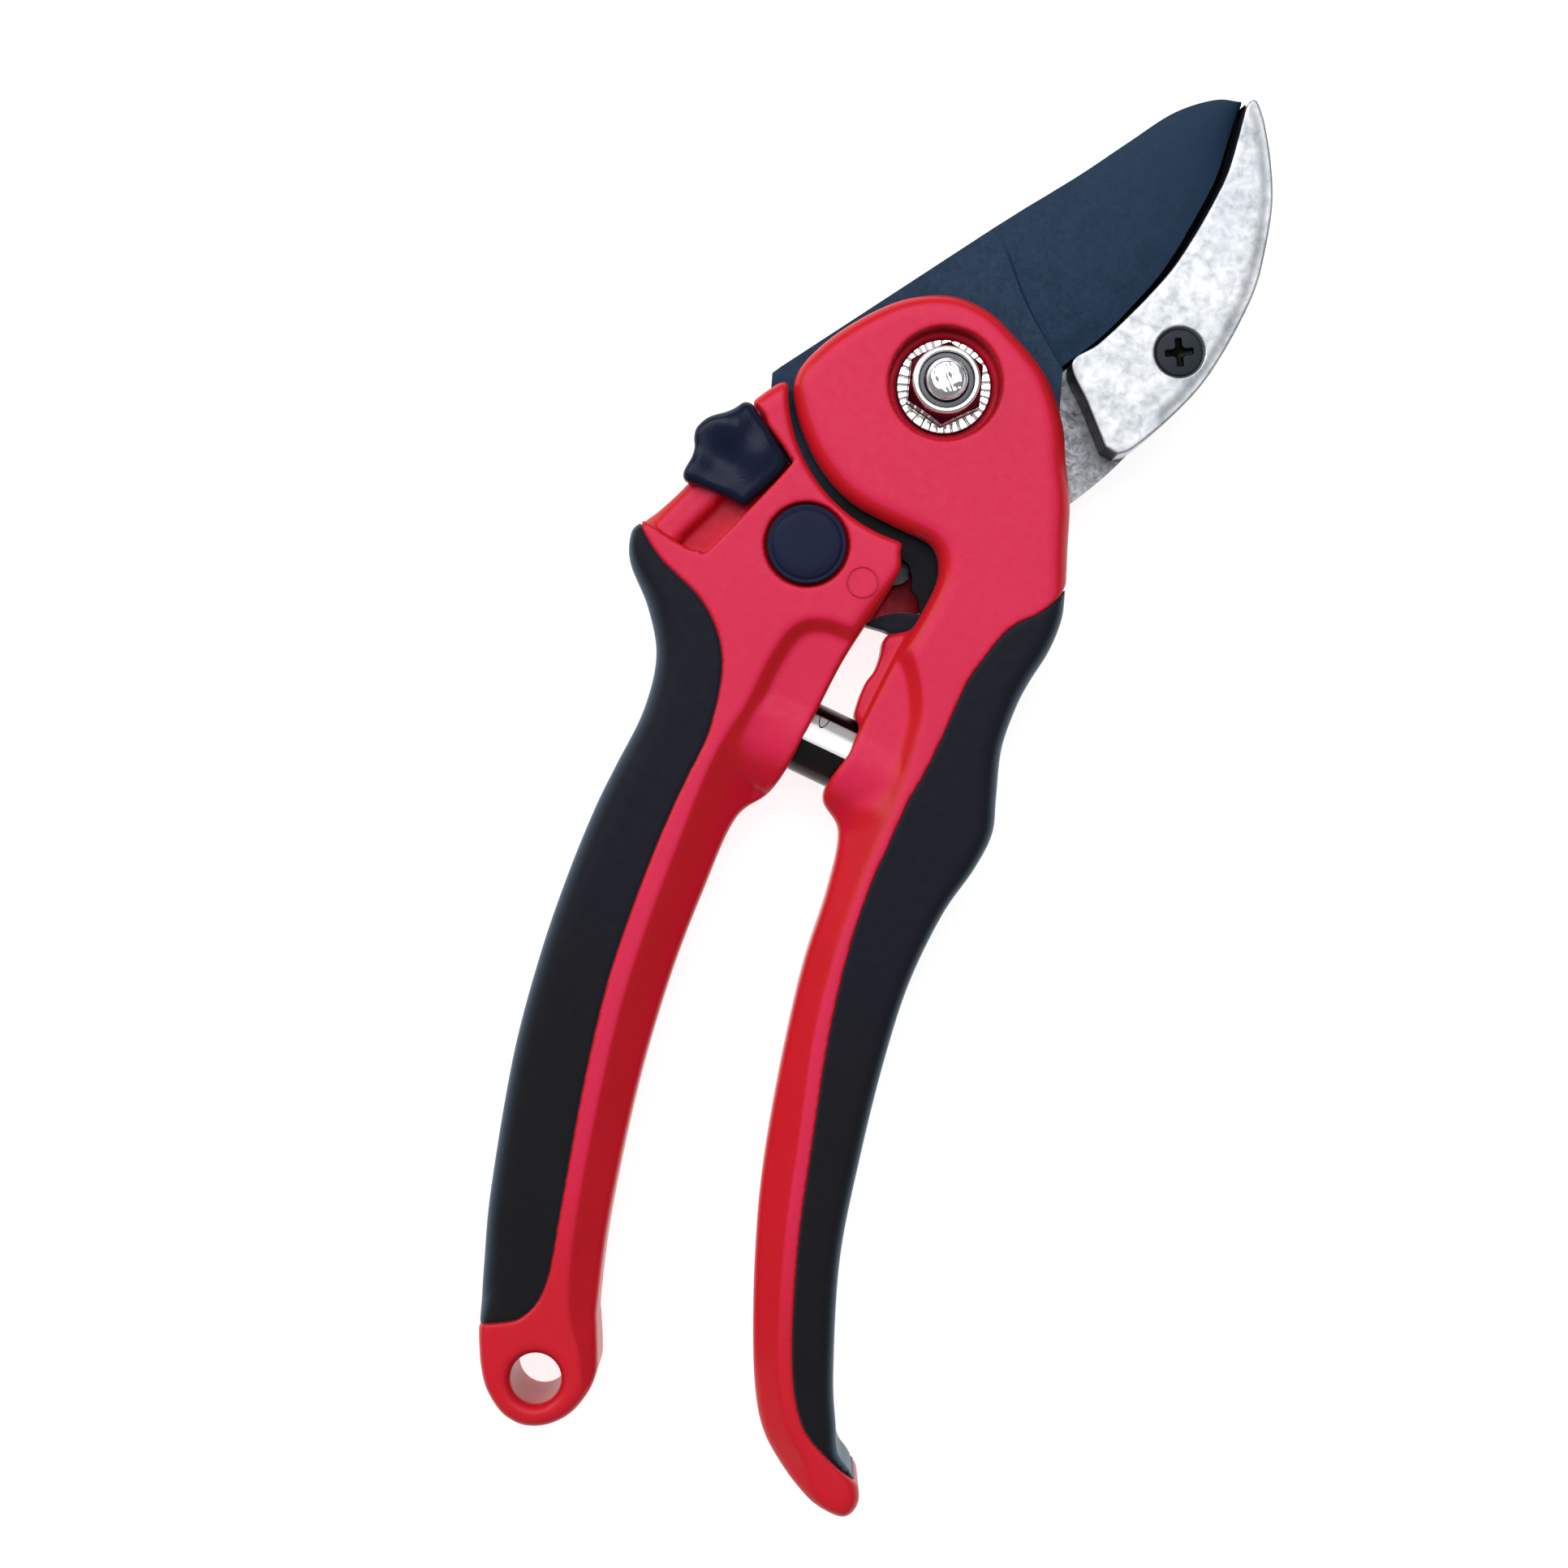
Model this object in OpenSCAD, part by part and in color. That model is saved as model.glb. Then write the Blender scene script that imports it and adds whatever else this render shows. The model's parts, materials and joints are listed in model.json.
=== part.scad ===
// Pruning shears: two moulded handles crossing on one pivot bolt, a black
// blade fixed in the right handle, and a steel plate fixed in the left
// handle that carries a curved counter-jaw. Lies flat on its rear faces.
// Units are millimetres. +Z runs up the pivot bolt, +Y towards the tips.

/* [Assembly] */
// Which piece to draw, or all of them
// Opening of the left handle about the pivot, in degrees
open_deg = 0; // [0:1:20]
// Travel of the lock slider away from the blade
lock_mm = 0; // [0:0.5:6.5]

/* [Handles] */
// Overall thickness of each handle
handle_t = 16; // [14:0.5:18]
// Thickness of the rear cheek under the steel plate
rear_cheek_t = 4.8; // [4:0.1:6]
// Radius of the round heads about the pivot
head_r = 20.9; // [18:0.1:23]
// Radius where each handle becomes full thickness
shoulder_r = 22.3; // [21:0.1:25]
// Radius of the sweep slot for the blade and plate corners
slot_r = 27.6; // [26:0.1:30]
// Edge rounding of the hard plastic
edge_r = 1.8; // [0.5:0.1:2.4]
// Radius of the hanging hole in the left handle
hang_r = 3.6; // [2:0.1:5]

/* [Steel parts] */
// Blade thickness
blade_t = 2.9; // [2:0.1:4]
// Height of the blade's lower face
blade_z = 8.1; // [7:0.1:9]
// Thickness of the land left at the cutting edge
edge_land = 0.4; // [0.2:0.1:1]
// Top of the counter-jaw
jaw_top = 15.3; // [12:0.1:16]
// Plate top stands this far below the blade
plate_gap = 0.3; // [0.2:0.05:0.5]

/* [Pivot hardware] */
// Radius of the bolt's plain shoulder
shoulder_bolt_r = 3.95; // [3:0.05:5]
// Radius of the bores that turn on the shoulder
pivot_bore_r = 4; // [3:0.05:5]
// Radius of the threaded end
thread_r = 2.95; // [2:0.05:4]
// Height of the bolt's end above the rear faces
bolt_end = 20.3; // [18:0.1:22]
// Width across flats of the nut and the bolt head
across_flats = 10; // [8:0.5:13]
// Radius of the nut's flange
flange_r = 6.55; // [6:0.05:8]
// Radius of the round recess around the nut and the bolt head
recess_r = 7.9; // [7:0.1:10]

/* [Lock] */
// Height of the ledge that the slider runs on
ledge_z = 11.2; // [10:0.1:12]
// Direction of travel, measured from -Y towards -X
lock_dir = 25; // [15:1:35]
// Width of the bolt under the slider
lock_bolt_w = 7; // [5:0.5:9]

/* [Spring] */
// Radius of the outer coil
spring_r = 5.5; // [4:0.1:6]
// Thickness of the spring strip
strip_t = 0.5; // [0.3:0.1:1]

/* [Hidden] */
// Pivot position, so the origin is under the middle of the whole tool
pivot = [-4.2, 51.7, 0];
// Samples per spline span
sn = 4;
plate_top = blade_z - plate_gap;
blade_top = blade_z + blade_t;
mid_z = handle_t / 2;
red = [0.82, 0.12, 0.2];
soft = [0.1, 0.1, 0.11];
navy = [0.1, 0.13, 0.19];
steel = [0.5, 0.51, 0.53];
bright = [0.78, 0.79, 0.8];
rivet_l = [-10.4, -27.6];
rivet_r = [14.2, -27.2];
screw_at = [29.1, 15.2];
hang_at = [-6.2, -149.4];
spring_at = [1.3, -53];
spring_ang = -5.5;
detent_at = [-24.2, -20.5];

// Left handle, outer side from the rear head's crown down to the heel
left_out = [[-1, 12.4], [-9, 7.9], [-14.2, 1.2], [-18, -4.2], [-22.2, -7.4],
            [-24.6, -11.8], [-27.2, -17.5], [-28.6, -24], [-31.2, -29],
            [-32.4, -32.6], [-29, -36.2], [-21, -40.2], [-16, -46.5],
            [-14.3, -56], [-15, -64], [-15.5, -70], [-15.9, -81],
            [-15.6, -94], [-13.8, -109], [-10.9, -126], [-9.3, -136.5],
            [-11, -142], [-15.9, -145], [-14, -151], [-9, -154.6]];
// Left handle, inner side, same stations
left_in = [[6, 11.4], [13, 8.5], [18.3, 3.5], [20.7, -2.5], [19.4, -7.7],
           [15.8, -13.6], [10, -18.3], [4.5, -21], [1.8, -23.2],
           [3, -26.3], [2.5, -30], [1, -36], [-0.6, -42.5],
           [-2, -55], [-4.6, -62], [-6.9, -66.5], [-7.6, -78],
           [-8.6, -91], [-7.2, -107], [-4.4, -125], [-1.5, -137],
           [1, -143.8], [0.6, -149], [-2, -153.6], [-5.5, -155]];
// Left grip, outer side, stations 9 to 22 of the handle
left_grip_out = [[-33.2, -34], [-32.4, -38.4], [-28, -43], [-24.9, -49],
                 [-24.1, -57], [-24.9, -65.5], [-25.5, -72], [-26, -82],
                 [-25.8, -94], [-24.2, -108.5], [-21, -127], [-18.4, -137],
                 [-16.9, -142], [-16.1, -144.9]];
// Right handle, inner side from the front head's crown down to the heel
right_in = [[-3.5, 12], [-9, 9.6], [-13.8, 5.2], [-18, -0.6], [-19.9, -6],
            [-17.9, -10.9], [-13, -16.2], [-7, -19.6], [0, -21.2],
            [6, -22.2], [8.6, -25.5], [8.2, -31], [7.2, -37],
            [6, -44], [4.9, -52], [3.7, -59.8], [7.6, -63.8],
            [8.8, -72], [9.6, -84], [12, -101.5], [15.2, -117],
            [20.6, -134], [26, -144.6], [31.4, -149.4], [36, -151.8],
            [39.2, -152.4]];
// Right handle, outer side, same stations
right_out = [[1.8, 11.9], [6.5, 10], [12.8, 6.2], [17.3, 0.8], [19.7, -4.3],
             [21.8, -9.6], [23.6, -15.5], [25.3, -20.5], [23.6, -25],
             [20, -29], [18, -34.5], [17, -38.5], [16.5, -45.5],
             [15.8, -52], [15, -56.5], [14.6, -62.5], [14.1, -70],
             [14.5, -80], [16, -91.5], [18.6, -104.5], [21.8, -119.5],
             [26.4, -134.5], [30.8, -142.6], [36.4, -146.2], [40.6, -147.4],
             [41.6, -150.2]];
// Right grip, outer side, stations 7 to 24 of the handle
right_grip_out = [[26, -22], [26.5, -25.5], [26.1, -30], [25.1, -35],
                  [24.6, -39], [24.9, -45], [26.4, -51.5], [27.6, -56.5],
                  [26.6, -62], [24.6, -69.5], [23.7, -80], [24.4, -91],
                  [26, -104.5], [28, -119.5], [32.6, -134.5], [36, -141.6],
                  [38.8, -145.2], [40.8, -147]];
// Counter-jaw, outer and inner sides from the tip down
jaw_out = [[27.2, 51.6], [29, 49], [32, 44], [34.2, 39], [35.4, 33],
           [36, 27.5], [35.6, 22], [34.6, 16], [33.2, 11], [30.6, 5.4],
           [27.6, 0.4], [25.9, -1.1]];
jaw_in = [[26.4, 51.2], [26.6, 46], [26.9, 41], [26.4, 36.2], [25.5, 31],
          [24.3, 26], [22.6, 21.6], [20.5, 17], [18.1, 12.4], [15.6, 8.6],
          [19.6, 4.1], [23.9, -0.7]];
// Ground part of the blade, back and cutting edge from the tip down
blade_back = [[25, 51.3], [21.6, 50.4], [17.4, 47.2], [12.5, 40.8],
              [8.2, 35.1], [4.7, 30.5], [2.2, 27.2], [0.4, 24.8],
              [-0.5, 23.6], [-2.4, 20.6]];
blade_edge = [[26, 50.4], [26.15, 46.2], [26.4, 41], [25.9, 36.3],
              [25, 31.1], [23.8, 26.2], [22.1, 21.9], [18.8, 15.2],
              [14.4, 8.4], [12, 5.6]];
// Flat part of the blade: grind line, straight back, lock lobe, disc, tang
blade_flat = [[14.4, 8.4], [11.8, 10.3], [7.7, 14.3], [2.7, 19.8],
              [-0.6, 23.5], [-22.3, -5.2], [-23.1, -6.4], [-22.6, -7.3],
              [-19.4, -9], [-17, -12], [-12, -17], [-5, -20.8], [3, -21.4],
              [9.8, -25], [9.8, -34], [9.2, -46], [11, -48.5], [13.4, -47],
              [14.6, -38], [17.5, -30], [21.4, -24], [20.6, -14],
              [18.4, -6], [16.6, 2]];
// Steel plate in the left handle, anticlockwise from under the jaw
plate_pts = [[33, 16], [32.4, 22], [28, 24.5], [24.4, 21], [20, 13.4],
             [12, 11], [3, 12.6], [-6, 12], [-12.4, 7], [-15.6, -1],
             [-17, -10], [-18.6, -20], [-18.4, -30], [-14, -36.4],
             [-6.6, -36], [-1.6, -30.4], [4.6, -25.2], [12, -21.4],
             [18, -16], [22, -9.5], [25.2, -4.4], [27.2, -0.6],
             [29.2, 4.4], [31.8, 10]];
// Lock slider outline and the ledge cut around it
slider_pts = [[-24.7, -12.3], [-26.5, -14.6], [-29.1, -15.9],
              [-30.3, -17.6], [-30, -20.4], [-29.8, -24.4],
              [-28.6, -25.4], [-25.5, -25], [-23, -25.9], [-20.6, -25.9],
              [-17.1, -18.4], [-17.5, -17.3], [-21.4, -14.2]];
ledge_pts = [[-25, -11.6], [-21.6, -13.4], [-16.9, -16.7], [-16.4, -18],
             [-22.6, -32.4], [-24.4, -33.2], [-33.6, -31.9], [-38, -31],
             [-38, -11]];

// Point on a Catmull-Rom span that starts at station i
function cr(p, i, t) =
    let (n = len(p) - 1, a = i > 0 ? p[i - 1] : 2 * p[0] - p[1],
         b = p[i], c = p[i + 1],
         d = i + 2 <= n ? p[i + 2] : 2 * p[n] - p[n - 1])
    0.5 * (2 * b + (c - a) * t + (2 * a - 5 * b + 4 * c - d) * t * t
           + (3 * b - a - 3 * c + d) * t * t * t);
// Smooth rail through stations a to b
function rail(p, a, b) =
    concat([for (i = [a:b - 1]) for (k = [0:sn - 1]) cr(p, i, k / sn)],
           [p[b]]);
// Smooth closed loop through all the points
function ring(p, m) =
    let (n = len(p), q = concat([p[n - 1]], p, [p[0], p[1]]))
    [for (i = [1:n]) for (k = [0:m - 1]) cr(q, i, k / m)];
function flip(p) = [for (i = [len(p) - 1:-1:0]) p[i]];
function unit(v) = v / max(norm(v), 0.001);
// Loop moved inwards by d along the averaged normals, less where it is narrow
function inset(p, d) =
    let (n = len(p))
    [for (i = [0:n - 1])
        let (u = unit(p[(i + 1) % n] - p[(i + n - 1) % n]),
             k = min(1, norm(p[i] - p[n - 1 - i]) / 8))
        p[i] + d * k * k * [-u[1], u[0]]];

// Solid between two rails; prof lists [height, inset] from below. The walls
// run 1 mm past both ends and are trimmed, which leaves plain flat faces.
module slab(l, r, prof) {
    loop = concat(l, flip(r));
    n = len(loop);
    last = prof[len(prof) - 1];
    z0 = prof[0][0];
    z1 = last[0];
    rows = concat([[z0 - 1, prof[0][1]]], prof, [[z1 + 1, last[1]]]);
    m = len(rows);
    pts = [for (q = rows) for (p = inset(loop, q[1])) [p[0], p[1], q[0]]];
    walls = [for (k = [0:m - 2]) for (i = [0:n - 1])
        let (a = k * n + i, b = k * n + (i + 1) % n)
        each [[a, a + n, b + n], [a, b + n, b]]];
    caps = [for (i = [0:n / 2 - 2])
        let (a = i, b = i + 1, c = n - 2 - i, d = n - 1 - i, t = (m - 1) * n)
        each [[a, b, c], [a, c, d], [a + t, c + t, b + t],
              [a + t, d + t, c + t]]];
    intersection() {
        polyhedron(pts, concat(walls, caps));
        translate([-60, -170, z0])
            cube([120, 240, z1 - z0]);
    }
}

// Heights and insets of a rounded edge profile
function soft_prof(z0, z1, r, g) =
    [[z0, r + g], [z0 + 0.3 * r, 0.3 * r + g], [z0 + r, g],
     [z1 - r, g], [z1 - 0.3 * r, 0.3 * r + g], [z1, r + g]];

module tube(r_out, r_in, h) {
    difference() {
        cylinder(r = r_out, h = h, $fn = 72);
        translate([0, 0, -1])
            cylinder(r = r_in, h = h + 2, $fn = 72);
    }
}

module at(p, z) {
    translate([p[0], p[1], z])
        children();
}

// Cylinder lying on the spring's axis, from x = a to x = b
module spring_rod(r, a, b) {
    translate([spring_at[0], spring_at[1], mid_z])
        rotate([0, 0, spring_ang])
            translate([a, 0, 0])
                rotate([0, 90, 0])
                    cylinder(r = r, h = b - a, $fn = 48);
}

// Trough that thins the handle beside the spring, on both faces
module scoop(x) {
    for (z = [handle_t + 6, -6])
        translate([x, -57, z])
            rotate([-90, 0, 0])
                cylinder(r = 9, h = 20, $fn = 72);
}

module blade() {
    color(navy)
        difference() {
            union() {
                blade_ground();
                at([0, 0], blade_z)
                    linear_extrude(blade_t)
                        polygon(blade_flat);
            }
            at([0, 0], blade_z - 1)
                cylinder(r = pivot_bore_r, h = blade_t + 2, $fn = 72);
            at(rivet_r, blade_z - 1)
                cylinder(r = 2.5, h = blade_t + 2, $fn = 48);
        }
}

// Hollow slope from the back down to the cutting edge
module blade_ground() {
    b = rail(blade_back, 0, 9);
    e = rail(blade_edge, 0, 9);
    n = len(b);
    top = blade_top - 0.15;
    pts = [for (i = [0:n - 1])
        each [[b[i][0], b[i][1], blade_z], [e[i][0], e[i][1], blade_z],
              [e[i][0], e[i][1], blade_z + edge_land],
              [b[i][0], b[i][1], top]]];
    sides = [for (i = [0:n - 2]) for (k = [0:3])
        let (a = 4 * i + k, c = 4 * i + (k + 1) % 4)
        each [[a, c + 4, c], [a, a + 4, c + 4]]];
    z = 4 * (n - 1);
    polyhedron(pts, concat(sides, [[0, 1, 2, 3], [z + 3, z + 2, z + 1, z]]));
}

module right_handle() {
    color(red)
        difference() {
            slab(rail(right_in, 0, 25), rail(right_out, 0, 25),
                 soft_prof(0, handle_t, edge_r, 0));
            at([0, 0], -1)
                cylinder(r = shoulder_r, h = blade_top + 1, $fn = 120);
            at([0, 0], rear_cheek_t - 0.3)
                cylinder(r = slot_r, h = blade_z - rear_cheek_t + 0.3, $fn = 120);
            at([0, 0], blade_z)
                linear_extrude(blade_t)
                    polygon(blade_flat);
            at([0, 0], 0)
                cylinder(r = recess_r, h = 30, $fn = 96);
            at(rivet_r, -1)
                cylinder(r = 5.8, h = 3, $fn = 72);
            at(rivet_r, 1)
                cylinder(r = 2.5, h = 13.2, $fn = 48);
            bumper_stem(1.52, 9.6);
            spring_rod(spring_r + 0.4, -1, 11.5);
            scoop(6.6);
        }
}

module right_grip() {
    color(soft)
        slab(rail(right_out, 7, 24), rail(right_grip_out, 0, 17),
             soft_prof(0.5, handle_t - 0.5, 2.2, 0.04));
}

module pivot_bolt() {
    color(bright)
        union() {
            at([0, 0], 0.7)
                cylinder(r = across_flats / sqrt(3), h = 3.8, $fn = 6);
            at([0, 0], 4.4)
                cylinder(r = shoulder_bolt_r, h = blade_top - 4.5, $fn = 72);
            at([0, 0], 10)
                cylinder(r = thread_r, h = bolt_end - 10.7, $fn = 48);
            at([0, 0], bolt_end - 0.7)
                cylinder(r1 = thread_r, r2 = thread_r - 0.6, h = 0.7, $fn = 48);
        }
}

module pivot_nut() {
    color(bright)
        difference() {
            union() {
                at([0, 0], blade_top)
                    cylinder(r = flange_r, h = 0.8, $fn = 96);
                at([0, 0], blade_top + 0.8)
                    cylinder(r1 = flange_r, r2 = 5.6, h = 0.8, $fn = 96);
                at([0, 0], blade_top)
                    cylinder(r = across_flats / sqrt(3), h = 6.2, $fn = 6);
                at([0, 0], blade_top + 6)
                    cylinder(r = 4.6, h = 1.6, $fn = 96);
            }
            at([0, 0], blade_top - 1)
                cylinder(r = thread_r + 0.02, h = 20, $fn = 48);
            at([0, 0], blade_top + 5.4)
                cylinder(r = 3.85, h = 4, $fn = 72);
        }
}

module nut_nylon_insert() {
    color([0.35, 0.37, 0.4])
        at([0, 0], blade_top + 5.42)
            tube(3.83, thread_r + 0.02, 2);
}

module blade_rivet() {
    color(steel)
        union() {
            at(rivet_r, 1.5)
                cylinder(r = 2.48, h = 12.5, $fn = 48);
            at(rivet_r, 1)
                cylinder(r = 4.4, h = 0.95, $fn = 48);
        }
}

module rear_rivet_cap() {
    color(soft)
        difference() {
            at(rivet_r, 0.1)
                cylinder(r = 5.6, h = 1.7, $fn = 72);
            at(rivet_r, 0.95)
                cylinder(r = 4.5, h = 2, $fn = 48);
        }
}

module rubber_bumper() {
    color(soft)
        union() {
            translate([0, 0, 3.5])
                linear_extrude(9)
                    polygon([[3.6, -31.4], [4.2, -30.8], [8, -30.8],
                             [7.4, -34.8], [3.8, -34.8], [3.2, -34.2]]);
            bumper_stem(1.5, 9.4);
        }
}

// Stem that holds the bumper in the right handle's wall
module bumper_stem(r, x) {
    translate([7, -32.9, mid_z])
        rotate([0, 90, 0])
            cylinder(r = r, h = x - 7, $fn = 36);
}

// Spiral strip seen along the spring's axis
function spiral(r0, r1, turns, n) =
    concat([for (i = [0:n]) let (r = r0 + (r1 - r0) * i / n,
                                 a = 360 * turns * i / n)
               r * [cos(a), sin(a)]],
           [for (i = [n:-1:0]) let (r = r0 + (r1 - r0) * i / n - strip_t,
                                    a = 360 * turns * i / n)
               r * [cos(a), sin(a)]]);

module coil(r0, r1, turns, a, b) {
    translate([spring_at[0], spring_at[1], mid_z])
        rotate([0, 0, spring_ang])
            translate([a, 0, 0])
                rotate([0, 90, 0])
                    linear_extrude(b - a)
                        polygon(spiral(r0, r1, turns, 56));
}

module spring_outer_coil() {
    color(bright)
        coil(spring_r, 4.2, 1.9, -5.5, 11);
}

module spring_inner_coil() {
    color(bright)
        coil(3.3, 1.6, 2.3, -10.2, 7);
}

module left_handle() {
    color(red)
        difference() {
            slab(rail(left_out, 0, 24), rail(left_in, 0, 24),
                 soft_prof(0, handle_t, edge_r, 0));
            at([0.6, -0.6], rear_cheek_t)
                cylinder(r = shoulder_r - 0.1, h = 20, $fn = 120);
            at([0, 0], blade_z - 0.3)
                cylinder(r = shoulder_r + 2.2, h = blade_t + 0.6, $fn = 120);
            at([0, 0], rear_cheek_t)
                linear_extrude(plate_top - rear_cheek_t)
                    polygon(ring(plate_pts, 3));
            at([0, 0], -1)
                cylinder(r = recess_r, h = 20, $fn = 96);
            at(rivet_l, 14)
                cylinder(r = 5.8, h = 3, $fn = 72);
            at(rivet_l, 2)
                cylinder(r = 2.5, h = 13, $fn = 48);
            at([0, 0], ledge_z)
                linear_extrude(10)
                    polygon(ledge_pts);
            lock_channel();
            at(detent_at, 2.6)
                cylinder(r = 1.7, h = 6, $fn = 36);
            at(hang_at, -1)
                cylinder(r = hang_r, h = handle_t + 2, $fn = 72);
            at([-1.4, -29.9], handle_t - 0.3)
                cylinder(r = 2.1, h = 1, $fn = 48);
            spring_rod(spring_r + 0.4, -11, 1);
            scoop(-1.2);
        }
}

// Channel under the slider, open towards the blade
module lock_channel() {
    at(detent_at, blade_z - 0.2)
        rotate([0, 0, -lock_dir])
            translate([-lock_bolt_w / 2 - 0.3, -13.5, 0])
                cube([lock_bolt_w + 0.6, 24, 5]);
}

module left_grip() {
    color(soft)
        slab(rail(left_grip_out, 0, 13), rail(left_out, 9, 22),
             soft_prof(0.5, handle_t - 0.5, 2.2, 0.04));
}

module jaw_plate() {
    color(steel)
        difference() {
            at([0, 0], rear_cheek_t)
                linear_extrude(plate_top - rear_cheek_t)
                    polygon(ring(plate_pts, 3));
            at([0, 0], 0)
                cylinder(r = pivot_bore_r, h = 20, $fn = 72);
            at(rivet_l, 0)
                cylinder(r = 2.5, h = 20, $fn = 48);
            at(screw_at, 0)
                cylinder(r = 2, h = 20, $fn = 48);
        }
}

module counter_jaw() {
    color(bright)
        difference() {
            slab(rail(jaw_in, 0, 11), rail(jaw_out, 0, 11),
                 [[plate_top, 0], [jaw_top - 0.6, 0], [jaw_top - 0.2, 0.12],
                  [jaw_top, 0.4]]);
            at(screw_at, 0)
                cylinder(r = 2, h = 20, $fn = 48);
            at(screw_at, jaw_top - 2.1)
                cylinder(r1 = 2, r2 = 3.5, h = 1.8, $fn = 72);
            at(screw_at, jaw_top - 0.3)
                cylinder(r = 3.5, h = 2, $fn = 72);
        }
}

module jaw_screw() {
    color(navy)
        difference() {
            union() {
                at(screw_at, 5)
                    cylinder(r = 1.96, h = 9, $fn = 48);
                at(screw_at, jaw_top - 2.1)
                    cylinder(r1 = 1.96, r2 = 3.45, h = 1.9, $fn = 72);
            }
            at(screw_at, jaw_top - 1.3)
                rotate([0, 0, 25])
                    union() {
                        translate([-2.1, -0.4, 0])
                            cube([4.2, 0.8, 3]);
                        translate([-0.4, -2.1, 0])
                            cube([0.8, 4.2, 3]);
                    }
        }
}

module jaw_rivet() {
    color(steel)
        union() {
            at(rivet_l, 2.1)
                cylinder(r = 2.48, h = 12.4, $fn = 48);
            at(rivet_l, 14.02)
                cylinder(r = 4.4, h = 0.9, $fn = 48);
        }
}

module front_rivet_cap() {
    color(soft)
        difference() {
            union() {
                at(rivet_l, 14.02)
                    cylinder(r = 5.6, h = 2.1, $fn = 96);
                at(rivet_l, 16.1)
                    cylinder(r1 = 5.4, r2 = 4.9, h = 0.6, $fn = 96);
            }
            at(rivet_l, 13)
                cylinder(r = 4.5, h = 2.1, $fn = 48);
        }
}

module detent_ball() {
    color(bright)
        at(detent_at, 6.2)
            sphere(r = 1.5, $fn = 36);
}

module detent_spring() {
    color(steel)
        at(detent_at, 2.7)
            tube(1.5, 1.1, 2.4);
}

// Sliding thumb piece with a low hump
module lock_slider() {
    color(navy)
        union() {
            at([0, 0], ledge_z + 0.3)
                linear_extrude(3.6)
                    polygon(ring(slider_pts, 4));
            at([0, 0], ledge_z + 3.8)
                linear_extrude(0.9)
                    offset(r = -0.6)
                        polygon(ring(slider_pts, 4));
            at([-24.4, -19.6], ledge_z + 4.6)
                rotate([0, 0, -lock_dir])
                    thumb_hump();
        }
}

// Low arched ridge across the slider for the thumb
module thumb_hump() {
    rotate([0, 90, 0])
        translate([13.6, 0, -4])
            intersection() {
                cylinder(r = 15, h = 8, $fn = 120);
                translate([-16, -5, 0])
                    cube([4, 10, 8]);
            }
}

module lock_bolt() {
    color(steel)
        at(detent_at, blade_z + 0.1)
            rotate([0, 0, -lock_dir])
                union() {
                    translate([-lock_bolt_w / 2, -6.4, 0])
                        cube([lock_bolt_w, 13.5, 2.7]);
                    translate([-2, -3, 2])
                        cube([4, 6, 1.3]);
                }
}

module shears() {
    blade();
    right_handle();
    right_grip();
    pivot_bolt();
    pivot_nut();
    nut_nylon_insert();
    blade_rivet();
    rear_rivet_cap();
    rubber_bumper();
    spring_outer_coil();
    rotate([0, 0, -open_deg]) {
        left_handle();
        left_grip();
        jaw_plate();
        counter_jaw();
        jaw_screw();
        jaw_rivet();
        front_rivet_cap();
        spring_inner_coil();
        detent_ball();
        detent_spring();
        translate(lock_mm * [-sin(lock_dir), -cos(lock_dir), 0]) {
            lock_slider();
            lock_bolt();
        }
    }
}

translate(pivot)
    shears();
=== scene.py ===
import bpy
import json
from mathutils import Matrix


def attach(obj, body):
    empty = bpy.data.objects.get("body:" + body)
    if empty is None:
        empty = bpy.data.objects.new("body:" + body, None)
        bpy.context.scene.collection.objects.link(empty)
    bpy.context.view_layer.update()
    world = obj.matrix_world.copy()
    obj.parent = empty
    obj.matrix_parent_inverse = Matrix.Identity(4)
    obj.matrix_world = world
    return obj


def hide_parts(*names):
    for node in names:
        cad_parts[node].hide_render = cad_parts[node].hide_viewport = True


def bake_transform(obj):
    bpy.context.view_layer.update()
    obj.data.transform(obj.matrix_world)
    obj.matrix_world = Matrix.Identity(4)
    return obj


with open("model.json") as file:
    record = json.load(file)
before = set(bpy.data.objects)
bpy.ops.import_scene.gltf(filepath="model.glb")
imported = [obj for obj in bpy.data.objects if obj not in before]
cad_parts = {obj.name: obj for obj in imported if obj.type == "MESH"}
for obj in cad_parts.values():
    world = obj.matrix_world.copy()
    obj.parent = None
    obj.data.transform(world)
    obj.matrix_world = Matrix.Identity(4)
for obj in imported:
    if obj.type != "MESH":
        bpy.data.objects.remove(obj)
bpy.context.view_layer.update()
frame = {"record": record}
import json
import math

import bmesh
import bpy
import numpy as np
from mathutils import Matrix, Vector

MM = 0.001
JOINTS = frame["record"]["behaviour"]["joints"]
OX, OY = next(j for j in JOINTS if j["name"] == "handle_pivot")["pos_m"][:2]
BLADE, JAW, LOCK = "blade_side", "jaw_side", "lock"
THICK = 16                  # handles
MID = 8                     # height of the spring's axis
RAIL_TILT = math.radians(25)    # lock rail against the row's y axis


def P(x, y, z=0.0):
    """Point in metres, row frame, from millimetres measured from the pivot bolt's axis."""
    return Vector((OX + x * MM, OY + y * MM, z * MM))


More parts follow.
